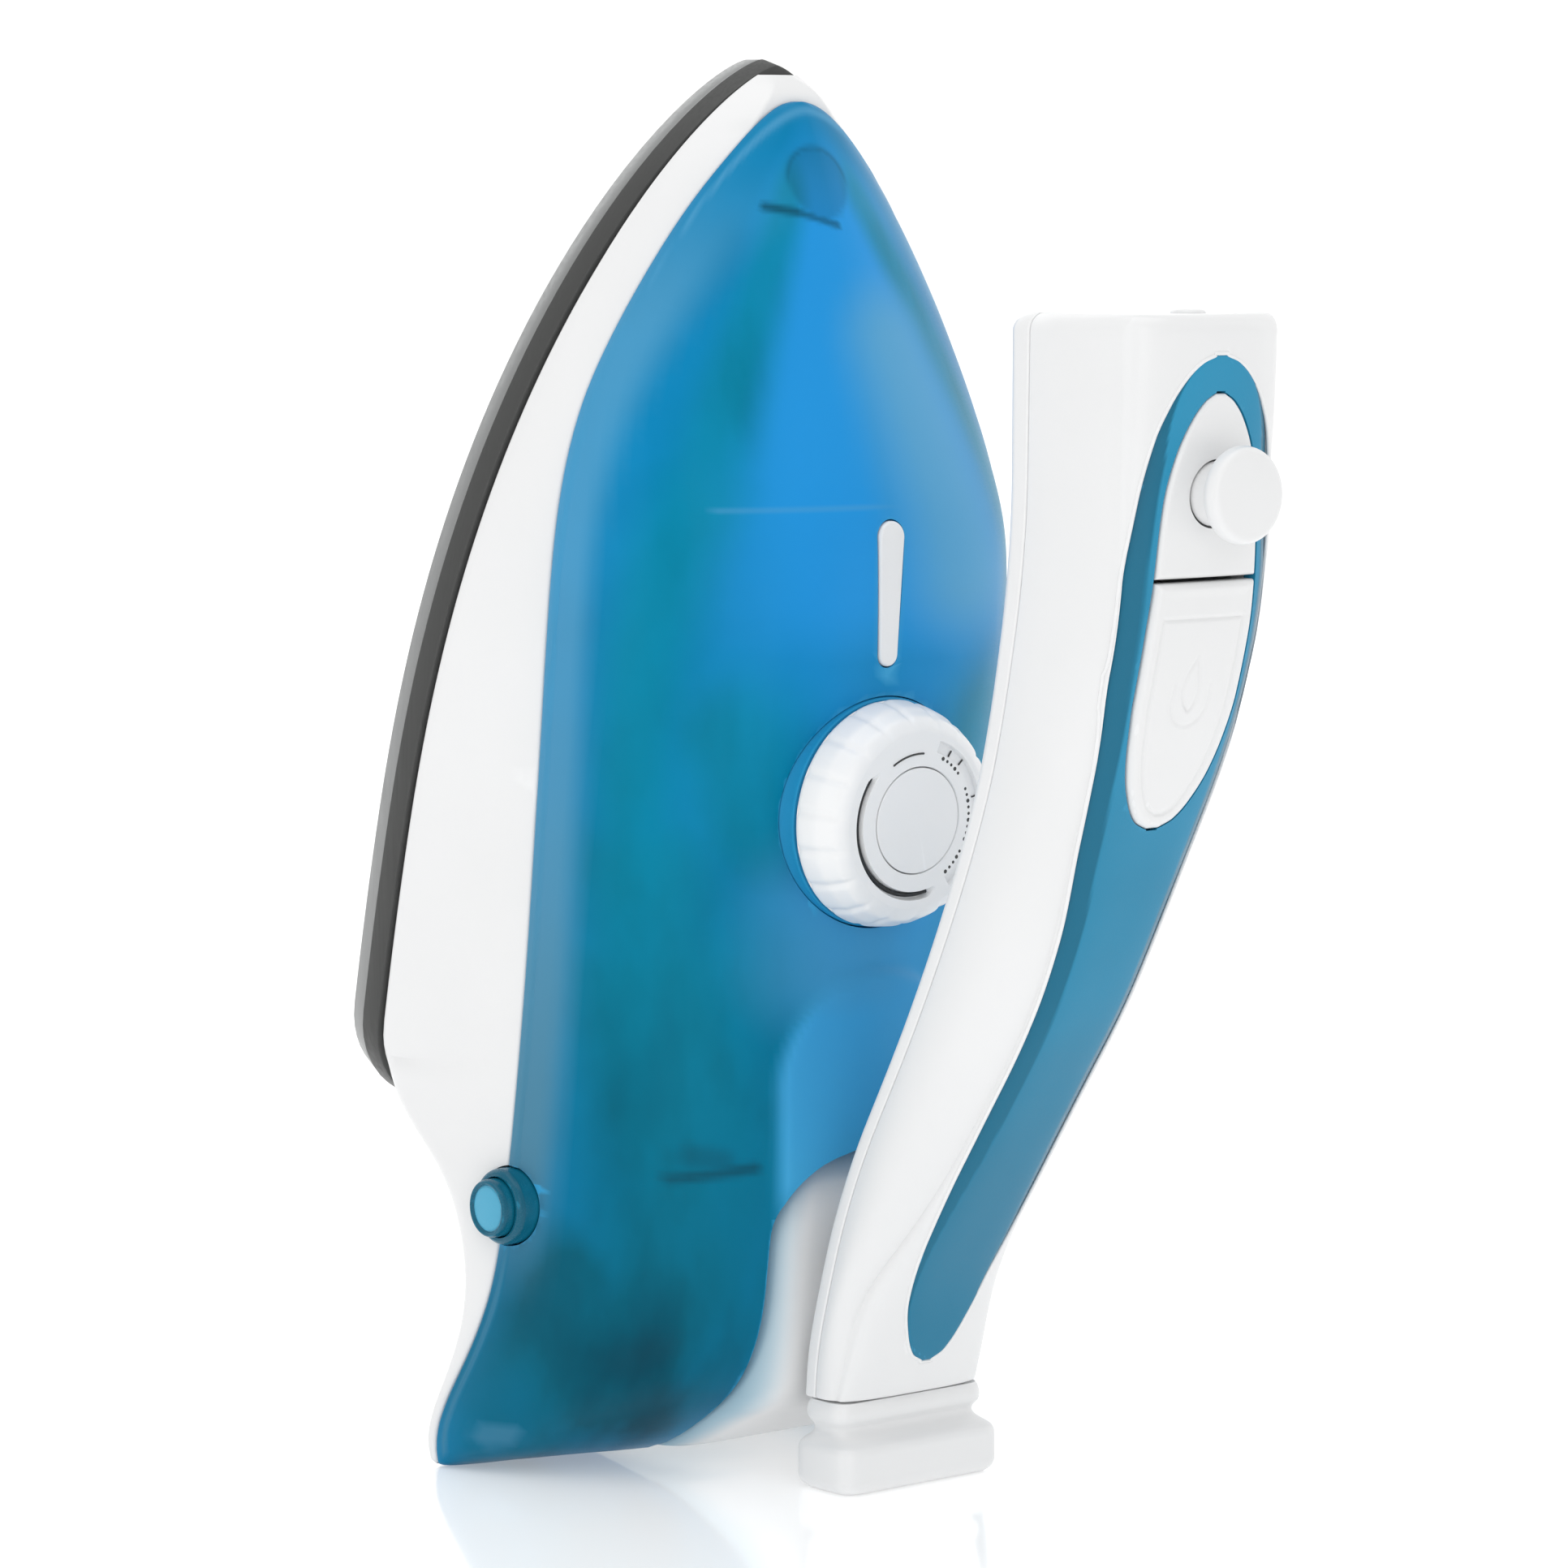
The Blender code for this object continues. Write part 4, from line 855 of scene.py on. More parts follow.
def water_tank():
    heights = rows(
        (0, 1.0, 0.2), (1, 40, 1.5), (40, 80, 0.8), (80, 143.6, 2.0), (143.6, 146, 0.3), (146, 182, 2.0),
        (182, 200, 0.6), (200, 203.6, 0.5), (203.6, 204.1, 0.15),
    )
    rings = []
    for up in heights:
        pull = tuck(up, 0.8)
        rings.append([(x * (1 - pull / 47), out, up) for x, out, up in tank_ring(up)])
    made = loft("tank_shell", rings, TANK)
    inner_turns = [0, 8, 17] + spaced(26, 90, 8)
    inner_rows = rows((7, 190, 5), (190, 198, 2.7))
    space = loft("tool", [tank_ring(up, TANK_WALL, 4.0, inner_turns) for up in inner_rows])
    cut(space, pylon_notch(2.0))
    cut(made, space)
    cut(made, pylon_notch(0.35))
    drill(made, SEAT_RADIUS + 0.15, along_dial(-9.0), along_dial(6.0), 96)
    cut(made, loft("tool", window_body(0.25, -7.0, 4.0)))
    cut(made, release_hole())
    # The behind colour carries parts behind the wall, painted shade and painted light.
    paint(made, "behind", wall_parts_and_light)
    paint(made, "ink", ink_share)
    show(made, "iron_body", "tank_blue", "water_tank")


# Each soft shape: (turn round the wall in degrees, up) points, its reach in mm and its strength.
# Dark shapes are parts behind the wall; the last one is the dial's painted shadow to its left.
DARK_PATHS = (
    ([(66, 190), (58, 178), (53, 168), (48, 157), (43, 148)], 6.5, 0.85),
    ([(43, 148), (37, 138), (32, 124), (31, 108), (32, 92)], 7.5, 0.85),
    ([(34, 92), (38, 76)], 13.0, 0.95), ([(38, 74), (44, 60), (50, 46), (46, 30), (36, 14)], 19.0, 1.0),
    ([(22, 30), (18, 16), (26, 6)], 15.0, 1.0), ([(64, 40), (58, 22), (50, 10)], 11.0, 0.85),
    ([(62, 98), (58, 108), (54, 112)], 11.0, 0.8),
)
# Painted light: where light comes through the wall, and under the dial against its shade.
PAINTED_LIGHT_PATHS = (
    ([(82, 184), (80, 172), (76, 158), (74, 146), (76, 134)], 17.0, 0.95),
    ([(74, 132), (72, 118)], 14.0, 0.45),
    ([(86, 160), (84, 146), (80, 130)], 12.0, 0.5), ([(84, 86), (84, 76)], 12.0, 0.85),
)
# Pale shapes are painted light on the far side of the ridge and under the dial.
PALE_PATHS = (  # turns past 90 degrees are on the far side of the ridge
    ([(104, 168), (108, 150), (114, 134)], 11.0, 0.85), ([(82, 86), (82, 78)], 13.0, 0.4),
)
DEGREE_REACH = 0.5               # mm that one degree round the wall counts for
STROKES = (  # (x, up) ends of a thin shape behind the wall, its reach in mm and its strength
    ((-31.0, 46.6), (-20.5, 47.8), 0.9, 0.75), ((-29.0, 50.0), (-25.0, 49.0), 1.8, 0.4),
    ((-10.8, 188.6), (-6.0, 187.8), 0.7, 0.8), ((-6.0, 187.8), (0.6, 185.9), 0.6, 0.7),
    ((-30.0, 13.0), (-27.0, 8.0), 2.4, 0.5), ((-35.0, 19.0), (-32.0, 21.0), 2.6, 0.45),
)
DOME_X, DOME_UP, DOME_RADIUS = -1.0, 192.0, 5.2


def near_run(start, end, here):
    """Distance of a 2D place to the straight run from start to end."""
    run = (end[0] - start[0], end[1] - start[1])
    away = (here[0] - start[0], here[1] - start[1])
    along = min(1.0, max(0.0, (away[0] * run[0] + away[1] * run[1]) / (run[0] ** 2 + run[1] ** 2)))
    return math.hypot(away[0] - along * run[0], away[1] - along * run[1])


def path_share(paths, turn, up):
    """How far a place on the wall is inside soft shapes given as paths."""
    best = 0.0
    here = (turn * DEGREE_REACH, up)
    for points, reach, strength in paths:
        ends = [(t * DEGREE_REACH, u) for t, u in points]
        near = min(near_run(a, b, here) for a, b in zip(ends, ends[1:]))
        best = max(best, strength * (1 - smooth_step(0.15 * reach, 1.25 * reach, near)))
    return best


def wall_parts_and_light(x, out, up):
    """Dark, pale and bright shares of the tank's colour at a place on its wall: parts behind it and painted
    shade in the dark share, painted light in the pale and bright shares, and a painted highlight along the
    rim.
    """
    level = round(up, 1)
    half, foot, top = line("tank_half", level), line("joint_out", level), line("tank_top", level)
    turn = math.degrees(math.atan2(max(0.0, out - foot) / (top - foot), abs(x) / half))
    side = out - foot
    pale = (1 - smooth_step(5.0, 11.0, side)) * smooth_step(24, 46, up) * (1 - smooth_step(170, 200, up))
    pale *= 0.85 - 0.25 * smooth_step(70, 130, up)
    # A painted highlight line along the rim.
    rim = 0.6 * math.exp(-(((side - 1.7) / 0.4) ** 2)) * smooth_step(0.5, 3.0, up)
    ledge = 0.3 * (1 - smooth_step(0.15, 0.6, near_run((-27.0, 144.8), (3.0, 144.8), (x, up))))
    boss = 0.45 * (1 - smooth_step(1.4, 2.6, math.hypot(x + 45.0, up - 6.0)))
    pale = max(pale, rim, ledge, boss, path_share(PALE_PATHS, turn if x < 0 else 180 - turn, up))
    # The swelling above the pylon gets painted light.
    swelling = hump(x, up) / HUMP_RISE
    dark, bright = path_share(DARK_PATHS, turn, up), path_share(PAINTED_LIGHT_PATHS, turn, up)
    dark, bright = dark * (1 - 0.6 * pale) * (1 - swelling), max(bright, 0.9 * swelling)
    return (dark, max(pale, 0.2 * swelling), bright)


def ink_share(x, out, up):
    """Strength of the thin dark shapes that press against the wall from inside."""
    best = 0.0
    for start, end, reach, strength in STROKES:
        near = near_run(start, end, (x, up))
        best = max(best, strength * (1 - smooth_step(0.2 * reach, 1.6 * reach, near)))
    away = math.hypot(x - DOME_X, up - DOME_UP)
    if out > 0:
        best = max(best, 0.32 * (1 - smooth_step(DOME_RADIUS - 0.6, DOME_RADIUS + 0.6, away)))
        arch = math.exp(-(((away - DOME_RADIUS) / 0.5) ** 2)) * smooth_step(DOME_UP - 2, DOME_UP + 2, up)
        best = max(best, 0.5 * arch)
    return best


def inside_tank():
    """Plastic parts on the tank floor that show as soft shapes through the wall."""
    spout = [(0.0, -6.0), (4.6, -6.0), (4.6, 3.2), (4.2, 4.2), (3.0, 4.8), (0.0, 5.0)]
    show(turned("fill_dome", spout, (0, 0, 191), (0, -1, 0), INNER_DARK), "iron_body", "inner_plastic")
    clip = [(-4.6, -2.0), (4.6, -2.0), (4.6, 5.2), (-4.6, 5.2)]
    show(
        loft("fill_clip", [[(x, out, up) for x, out in clip] for up in (184.6, 185.8)], INNER_DARK),
        "iron_body", "inner_plastic",
    )
    low, high, wall = 84, 143, 1.2
    outer = [(-15.5, low), (15.5, low), (15.5, high), (-15.5, high)]
    inner = [(x * 0.92, up + (wall if up == low else -wall)) for x, up in outer]
    housing = loft("steam_housing", [[(x, out, up) for x, up in outer] for out in (-7.5, 9.5)], INNER)
    cut(housing, loft("tool", [[(x, out, up) for x, up in inner] for out in (-9.0, 11.0)]))
    show(housing, "iron_body", "inner_plastic")
    for side, label in ((-1, "left"), (1, "right")):
        path = []
        for turn in spaced(36, 60, 3):
            x, out = tank_ring(47.0, TANK_WALL + 0.8, 0.0, [0, turn])[4][:2]
            path.append((side * x, out, 47.0 + 0.02 * (turn - 36)))
        show(tube("wall_clip_" + label, path, 0.55, INNER_DARK), "iron_body", "inner_plastic")


# ---------------------------------------------------------------- dial, its seat and the lamp window
FACE_HEIGHT = 9.0
SIDE_PROFILE = [
    (13.6, 3.0), (14.2, 1.0), (16.6, 1.0), (17.0, 1.4), (16.9, 2.4), (16.4, 5.0), (15.9, 6.0), (15.1, 7.9),
    (13.3, FACE_HEIGHT),
]
SLOT_FROM, SLOT_TO = 135, 292    # degrees on the face, counted from +x toward +up
SLOT_INNER, SLOT_OUTER, SLOT_WIDENS, SLOT_DEPTH = 10.6, 10.9, 0.8, 1.1
SCALE_FROM, SCALE_SPAN = -57, 130
SCALE_INNER, SCALE_OUTER, SCALE_DEPTH = 10.4, 12.1, 0.7
FLUTE_DEPTH = 0.32
SCALE_TICKS = ((71, 11.2, 0.6), (57, 11.3, 0.5), (44, 11.6, 0.5), (14, 11.6, 0.35), (-56, 11.2, 0.7))
DIAL_RAYS = frame_of(DIAL_AXIS)[1:]


def face_degrees(angle):
    """Direction on the dial face, counted from +x toward +up, of an angle of turned()."""
    ray = DIAL_RAYS[0] * math.cos(angle) + DIAL_RAYS[1] * math.sin(angle)
    return math.degrees(math.atan2(ray.z, ray.x)) % 360


def dial_face(radius, along, angle):
    """Flutes round the side, the curved slot and the recessed scale on the face."""
    if radius > 14.0 and along > 1.2:
        flute = (0.5 - 0.5 * math.cos(DIAL_FLUTES * angle)) ** 8
        radius -= FLUTE_DEPTH * flute * smooth_step(9.0, 8.0, along)
    turn = face_degrees(angle)
    if along > 8.5 and radius < 13.0:
        slot = smooth_step(SLOT_FROM, SLOT_FROM + 14, turn) * (1 - smooth_step(SLOT_TO - 10, SLOT_TO, turn))
        outer = SLOT_OUTER + SLOT_WIDENS * slot
        slot *= smooth_step(SLOT_INNER, 10.8, radius) * (1 - smooth_step(outer, outer + 0.2, radius))
        along -= SLOT_DEPTH * slot
        reach = (turn - SCALE_FROM) % 360
        wide = smooth_step(0, 3, reach) * (1 - smooth_step(SCALE_SPAN - 3, SCALE_SPAN, reach))
        wide *= smooth_step(SCALE_INNER, 10.55, radius) * (1 - smooth_step(SCALE_OUTER, 12.3, radius))
        along -= SCALE_DEPTH * wide
    return radius, along


def on_dial(radius, degrees, along):
    """Point over the dial face at an angle counted from +x toward +up."""
    angle = math.radians(degrees)
    x, rise = radius * math.cos(angle), radius * math.sin(angle)
    axis = along_dial(along)
    return (x, axis[1] - rise * math.sin(DIAL_TILT), axis[2] + rise * math.cos(DIAL_TILT))


def dial():
    base = (0.0, DIAL_OUT, DIAL_UP)
    shoulder = soften(SIDE_PROFILE, (0.2, 0.3, 0.5, 0.8, 0.8, 0.8, 0.8), 4)
    face_radii = [13.1 - 0.1 * k for k in range(50)]
    profile = [(SHAFT_RADIUS + 0.15, 3.0), *shoulder, *[(r, FACE_HEIGHT) for r in face_radii]]
    well = ((8.1, 0.08), (8.02, 0.3), (8.0, 1.4), (SHAFT_RADIUS + 0.15, 1.4))
    profile += [(radius, FACE_HEIGHT - drop) for radius, drop in well]
    made = turned("dial_knob", profile, base, DIAL_AXIS, DIAL_WHITE_LIT, 360, dial_face, 50)
    show(made, "dial_body", "white_plastic", "dial")
    cap = [(0.0, 7.9), (7.8, 7.9), *soften([(7.86, 8.0), (7.86, 9.0), (0.0, 9.1)], (0.16,), 4)]
    made = turned("dial_disc", cap, base, DIAL_AXIS, DIAL_WHITE_LIT, 128)
    show(made, "dial_body", "white_plastic", "dial_cap")
    dots = []
    for k in range(22):
        degrees = 64 - 5.6 * k
        if k in (5, 6, 16):
            continue
        size = 0.24 if k % 3 else 0.31
        dot = [(0.0, -0.05), (size, -0.05), (size, 0.01), (0.0, 0.02)]
        dots.append(turned("dot", dot, on_dial(9.95, degrees, FACE_HEIGHT), DIAL_AXIS, MARK, 16))
    for degrees, radius, reach in SCALE_TICKS:
        path = [on_dial(radius + side * reach, degrees, FACE_HEIGHT - 0.62) for side in (-1, 1)]
        dots.append(tube("tick", path, 0.13, MARK, 8))
    # A dark bead along the slot is painted shadow.
    path = [on_dial(11.15, turn, FACE_HEIGHT - 0.9) for turn in spaced(142, 285, 3)]
    dots.append(tube("slot_shadow", path, 0.34, GAP_DARK, 8))
    path = [on_dial(10.0, turn, FACE_HEIGHT) for turn in spaced(87, 122, 3)]
    dots.append(tube("pointer_line", path, 0.16, MARK, 8))
    marks = merge("dial_marks", dots)
    show(marks, "dial_body", "white_plastic")
    seat = [
        (3.2, -1.2), (14.0, -1.2), (14.0, -5.4), (SEAT_RADIUS, -5.4), (SEAT_RADIUS, 0.2),
        (SEAT_RADIUS - 0.1, 0.5), (SEAT_RADIUS - 0.35, 0.7), (3.2, 0.7),
    ]
    show(turned("dial_collar", seat, base, DIAL_AXIS, TANK, 96), "iron_body", "tank_blue", "dial_seat")


def merge(name, pieces):
    """One object from several."""
    bm = bmesh.new()
    materials = []
    for piece in pieces:
        own = piece.data.materials[0]
        if own not in materials:
            materials.append(own)
        first = len(bm.faces)
        bm.from_mesh(piece.data)
        bm.faces.ensure_lookup_table()
        for face in bm.faces[first:]:
            face.material_index = materials.index(own)
        bpy.data.objects.remove(piece, do_unlink=True)
    mesh = bpy.data.meshes.new(name)
    bm.to_mesh(mesh)
    bm.free()
    for own in materials:
        mesh.materials.append(own)
    made = place(name, mesh)
    smooth(made, 50)
    return made


def lamp_window():
    made = loft("window_lens", window_body(0.0, -5.0, 0.5, 0.45), WHITE, 50)
    cut(made, loft("tool", window_body(-0.7, -7.0, -1.0)))
    show(made, "iron_body", "white_plastic", "lamp_window")


# ---------------------------------------------------------------- fold release and cord gland
def release():
    bezel = [(5.7, 0.0), (5.7, 6.9), (5.5, 7.6), (5.0, 8.0), (4.6, 7.9)]
    profile = [(4.6, 0.0), *soften(bezel, (0.1, 0.4, 0.4), 4)]
    made = turned("release_collar", profile, at_release(RELEASE_BASE), RELEASE_AXIS, TEAL, 96)
    show(made, "iron_body", "tank_blue", "release_bezel")
    rim = [(4.35, 2.6), (4.35, 9.3), (4.1, 9.9), (3.7, 9.9), (3.4, 9.45), (3.2, 9.6), (0.0, 9.7)]
    profile = [(0.0, 2.6), *soften(rim, (0.4, 0.4, 0.2, 0.15, 0.2), 4)]
    made = turned("release_cap", profile, at_release(RELEASE_BASE), RELEASE_AXIS, TEAL, 96)
    made.data.materials.append(TEAL_LIGHT)
    disc = world(at_release(-47.9))
    for polygon in made.data.polygons:
        away = polygon.center - disc
        if away.x < 0 and math.hypot(away.y, away.z) < 0.0034:
            polygon.material_index = 1
    show(made, "release_body", "tank_blue", "release_button")


def cord_gland():
    gland = [
        (6.2, 0.0), (6.2, 1.6), (4.9, 1.9), (4.9, 3.8), (4.3, 4.2), (4.6, 4.6), (4.6, 6.4),
        (4.0, 6.8), (4.3, 7.2), (4.3, 9.0), (3.7, 9.4), (3.9, 9.8), (3.9, 12.0), (2.2, 12.0),
    ]
    profile = [(2.2, 0.0), *soften(gland, (0.3,) * 12, 3)]
    made = turned("gland_sleeve", profile, (0, -22.2, GLAND_UP), (0.0, 1.0, -0.05), RUBBER, 64)
    show(made, "iron_body", "gland_rubber", "cord_gland")


# ---------------------------------------------------------------- handle
@lru_cache(None)
def crown_line(up):
    return line("crown_out", up), line("crown_rise", up), line("corner_half", up)


def crown(x, up):
    """Out of the handle's outer face at x."""
    out, rise, corner = crown_line(up)
    share = min(1.0, abs(x) / corner)
    return out - rise * (1 - (1 - share**3) ** (1 / 3))


def seam(up):
    """Out of the joint between the handle's two shells."""
    return line("handle_in", up) + line("lid_depth", up)


def handle_front(up, shrink=0.0):
    """Half points of the outer shell from the seam round to the crown."""
    half = line("handle_half", up) - shrink
    out, rise, corner = crown_line(up)
    corner -= 0.8 * shrink
    low, high = seam(up) + 0.06, out - rise - 0.3 * shrink
    waist = low + 0.30 * (high - low)
    bend = waist + 0.65 * (high - waist)
    points = [(half - 0.3, low), (half - 0.08, low + 0.1), (half, low + 0.35), (half, waist)]
    for t in spaced(0.1, 1.0, 0.1):
        x = half * (1 - t) ** 2 + 2 * half * t * (1 - t) + corner * t * t
        points.append((x, waist * (1 - t) ** 2 + 2 * bend * t * (1 - t) + high * t * t))
    for turn in range(85, -1, -5):
        x = math.sin(math.radians(turn)) * corner
        points.append((x, crown(x, up) - shrink))
    return points


def shell_ring(up, shrink=0.0):
    points = handle_front(up, shrink)
    low = points[0][1]
    return mirrored([(0.0, low), (0.5 * points[0][0], low)] + points, up)


def lid_ring(up, shrink=0.0):
    half, low, high = line("handle_half", up) - shrink, line("handle_in", up) + shrink, seam(up) - 0.06
    corners = [(0.0, low), (half, low), (half, high), (0.0, high)]
    half_ring = soften(corners, (2.4, 0.35), 7)
    return mirrored([half_ring[0], (0.5 * half_ring[1][0], half_ring[1][1]), *half_ring[1:]], up)


END_RADIUS = 2.6


def handle_rows():
    """Heights of the handle's sections with how far each is pulled in by the rounded top."""
    made = [(up, 0.0) for up in rows((HANDLE_BOTTOM, HANDLE_TOP - END_RADIUS, 1.6))]
    made[0] = (HANDLE_BOTTOM, 0.35)
    made.insert(1, (HANDLE_BOTTOM + 0.12, 0.12))
    made.insert(2, (HANDLE_BOTTOM + 0.4, 0.0))
    for turn in range(10, 91, 10):
        angle = math.radians(turn)
        made.append((HANDLE_TOP - END_RADIUS * (1 - math.sin(angle)), END_RADIUS * (1 - math.cos(angle))))
    return made


def distance_to(outline, points):
    """Distance of 2D points to a closed outline, in numpy."""
    start = np.array(outline)
    run = np.roll(start, -1, axis=0) - start
    best = np.full(len(points), 1e9)
    for a, d in zip(start, run):
        t = np.clip(((points - a) @ d) / max(float(d @ d), 1e-12), 0.0, 1.0)
        best = np.minimum(best, np.linalg.norm(points - a - t[:, None] * d, axis=1))
    return best


def skin_outline(name, grow, low, high, step=1.0):
    """Closed (x, up) outline of a piece on the crown whose half width follows a line."""
    heights = end_rows(low, high, step)
    right = [(curve(LINES[name], up) + grow, up) for up in heights]
    return right + [(-x, up) for x, up in reversed(right)]


def end_rows(low, high, step):
    """Heights that crowd toward both ends."""
    count = math.ceil((high - low) * math.pi / 2 / step)
    return [low + (high - low) * (0.5 - 0.5 * math.cos(math.pi * k / count)) for k in range(count + 1)]


def skin_piece(name, width, low, high, depth, relief, material, columns=48, step=1.0, grow=0.0):
    """A closed piece on the crown. Relief gives its height over the crown from (x, up, distance to edge)."""
    heights = end_rows(low, high, step)
    shares = [math.sin(math.pi / 2 * (2 * k / columns - 1)) for k in range(columns + 1)]
    flat = []
    for up in heights:
        half = curve(LINES[width], up) + grow
        flat += [(half * share, up) for share in shares]
    away = distance_to(skin_outline(width, grow, low, high, step), np.array(flat))
    bm = bmesh.new()
    outer, inner = [], []
    for (x, up), near in zip(flat, away):
        face = crown(x, up)
        outer.append(bm.verts.new(world((x, face + relief(x, up, near), up))))
        inner.append(bm.verts.new(world((x, face + depth, up))))
    wide = columns + 1
    for r in range(len(heights) - 1):
        for c in range(columns):
            i = r * wide + c
            bm.faces.new((outer[i], outer[i + 1], outer[i + wide + 1], outer[i + wide]))
            bm.faces.new((inner[i], inner[i + wide], inner[i + wide + 1], inner[i + 1]))
        for c in (0, columns):
            i = r * wide + c
            bm.faces.new((outer[i], outer[i + wide], inner[i + wide], inner[i]))
    for r in (0, len(heights) - 1):
        for c in range(columns):
            i = r * wide + c
            bm.faces.new((outer[i], outer[i + 1], inner[i + 1], inner[i]))
    return finish_mesh(name, bm, material, 50)


def skin_tool(width, low, high, grow, bottom=None, top=None):
    """A plain cutter on the crown for a pocket."""
    stations = LINES[width]
    first = stations[0][0] - grow if bottom is None else bottom
    last = stations[-1][0] + grow if top is None else top
    rings = []
    for up in end_rows(first, last, 1.2):
        half = curve(stations, up) + grow
        if up < stations[0][0] or up > stations[-1][0]:
            half *= 0.7
        xs = [half * math.sin(math.radians(turn)) for turn in range(90, -91, -10)]
        outer = [(x, crown(x, up) + high, up) for x in xs]
        inner = [(x, crown(x, up) + low, up) for x in reversed(xs)]
        rings.append(outer + inner)
    return loft("tool", rings)


def knob_hole():
    return rod("tool", KNOB_NECK + 0.3, (0, 76, KNOB_UP), (0, 99, KNOB_UP), sides=64)


def handle_shell():
    made = loft("handle_housing", [shell_ring(up, pull) for up, pull in handle_rows()], WHITE)
    hollow = []
    for up in (34, 46, 60, 76, 92, 108, 124, 140, 156, 168):
        points = handle_front(up, 2.4)[1:]
        low = points[0][1] - 3.0
        inner = [(x, min(out, crown(0, up) - 4.9)) for x, out in points]
        hollow.append(mirrored([(0.0, low), (inner[0][0], low)] + inner, up))
    cut(made, loft("tool", hollow))
    cut(made, skin_tool("inlay_half", -2.3, 3.0, 0.12))
    cut(made, skin_tool("panel_half", -12.0, 2.0, 0.3, top=SPLIT_UP + 0.2))
    cut(made, knob_hole())
    cut(made, loft("tool", [
        [(-6, 20.0, 16.0), (6, 20.0, 16.0), (6, 25.0, 16.0), (-6, 25.0, 16.0)],
        [(-6, 22.0, 33.0), (6, 22.0, 33.0), (6, 30.0, 33.0), (-6, 30.0, 33.0)],
    ]))
    nub = [(0.0, -2.0), (2.6, -2.0), *soften([(2.6, 0.0), (2.3, 0.7), (0.0, 0.95)], (0.5,), 5)]
    join(made, turned("tool", nub, (0, 84.0, HANDLE_TOP - 0.2), (0, 0, 1), sides=48))
    show(made, "handle_body", "white_plastic", "handle_shell")


def handle_lid():
    made = loft("handle_back", [lid_ring(up, pull * 0.9) for up, pull in handle_rows()], WHITE)
    side = KNUCKLE_HALF
    knuckle = rod("tool", KNUCKLE_RADIUS, (-side, PIVOT_OUT, PIVOT_UP), (side, PIVOT_OUT, PIVOT_UP), sides=64)
    wide = side - 0.3
    low = [(-wide, 12.0, 19.4), (wide, 12.0, 19.4), (wide, 21.0, 18.4), (-wide, 21.0, 18.4)]
    high = [(-wide, 12.0, 28.6), (wide, 12.0, 28.6), (wide, 23.4, 29.6), (-wide, 23.4, 29.6)]
    join(made, join(knuckle, loft("web", [low, high])))
    drill(made, PIN_RADIUS + 0.15, (-9, PIVOT_OUT, PIVOT_UP), (9, PIVOT_OUT, PIVOT_UP))
    for up in HANDLE_SCREWS_UP:
        head = curve(LINES["handle_in"], up) + 1.8
        drill(made, 3.1, (0, head - 4.0, up), (0, head + 0.3, up))
        drill(made, 1.6, (0, head - 1.0, up), (0, head + 6.0, up))
    show(made, "handle_body", "white_plastic", "handle_lid")


BEVEL_WIDTH, BEVEL_DROP = 2.6, 0.9


def inlay_relief(x, up, near):
    """The blue grip: a sloping border round a flat face, and a soft lip at its outline."""
    wide = BEVEL_WIDTH * smooth_step(168, 150, up) * smooth_step(20, 60, up)
    drop = BEVEL_DROP * (1 - min(1.0, near / wide)) if wide > 0.3 else 0.0
    return 0.22 - drop * min(1.0, wide / BEVEL_WIDTH) - 0.25 * tuck(near, 0.5)


def border_share(x, out, up):
    """How dark the grip is at a place: its sloping border, and more so towards the bottom."""
    wide = BEVEL_WIDTH * smooth_step(168, 150, up) * smooth_step(20, 60, up)
    slope = 1 - smooth_step(wide - 0.12, wide + 0.12, curve(LINES["inlay_half"], up) - abs(x))
    return max(slope, 0.62 * smooth_step(120, 40, up))


def grip_inlay():
    low, high = LINES["inlay_half"][0][0], LINES["inlay_half"][-1][0]
    made = skin_piece("grip_pad", "inlay_half", low, high, -2.0, inlay_relief, GRIP, 60, 0.8)
    cut(made, skin_tool("panel_half", -5.0, 4.0, 0.32))
    paint(made, "border", border_share)
    show(made, "handle_body", "grip_blue", "grip_inlay")
    round_grip = skin_outline("inlay_half", 0.28, low - 0.28, high + 0.28, 1.0)
    bead = [(x, crown(x, up) - 0.05, up) for x, up in round_grip]
    show(tube("grip_bead", bead, 0.3, WHITE, 8, closed=True), "handle_body", "white_plastic")


def front_panel():
    def relief(x, up, near):
        return 0.55 - tuck(near, 0.7)

    low, high = SPLIT_UP + 0.3, LINES["panel_half"][-1][0]
    made = skin_piece("front_plate", "panel_half", low, high, -2.0, relief, WHITE, 56, 0.5)
    cut(made, knob_hole())
    show(made, "handle_body", "white_plastic", "front_panel")


STEAM_CUP = (3.5, 120.4)         # radius and middle height of the cup of the steam mark
STEAM_LEAF = (119.0, 126.6, 1.5)  # foot, tip and half width of its flame


def steam_mark(x, up):
    """Distance to the lines of the steam mark: an open cup with a flame standing in it."""
    radius, middle = STEAM_CUP
    cup = abs(math.hypot(x, up - middle) - radius) if up < middle else abs(abs(x) - radius)
    cup += max(0.0, up - middle - 2.6)
    foot, tip, half = STEAM_LEAF
    t = min(1.0, max(0.0, (up - foot) / (tip - foot)))
    wide = half * math.sin(math.pi * t**0.75)
    flame = abs(abs(x + 0.35 * math.sin(math.pi * t)) - wide)
    flame += max(0.0, foot - up, up - tip)
    return min(cup, flame)


GROOVE_INSET, GROOVE_HALF, GROOVE_TOP = 2.1, 0.28, SPLIT_UP - 5.4


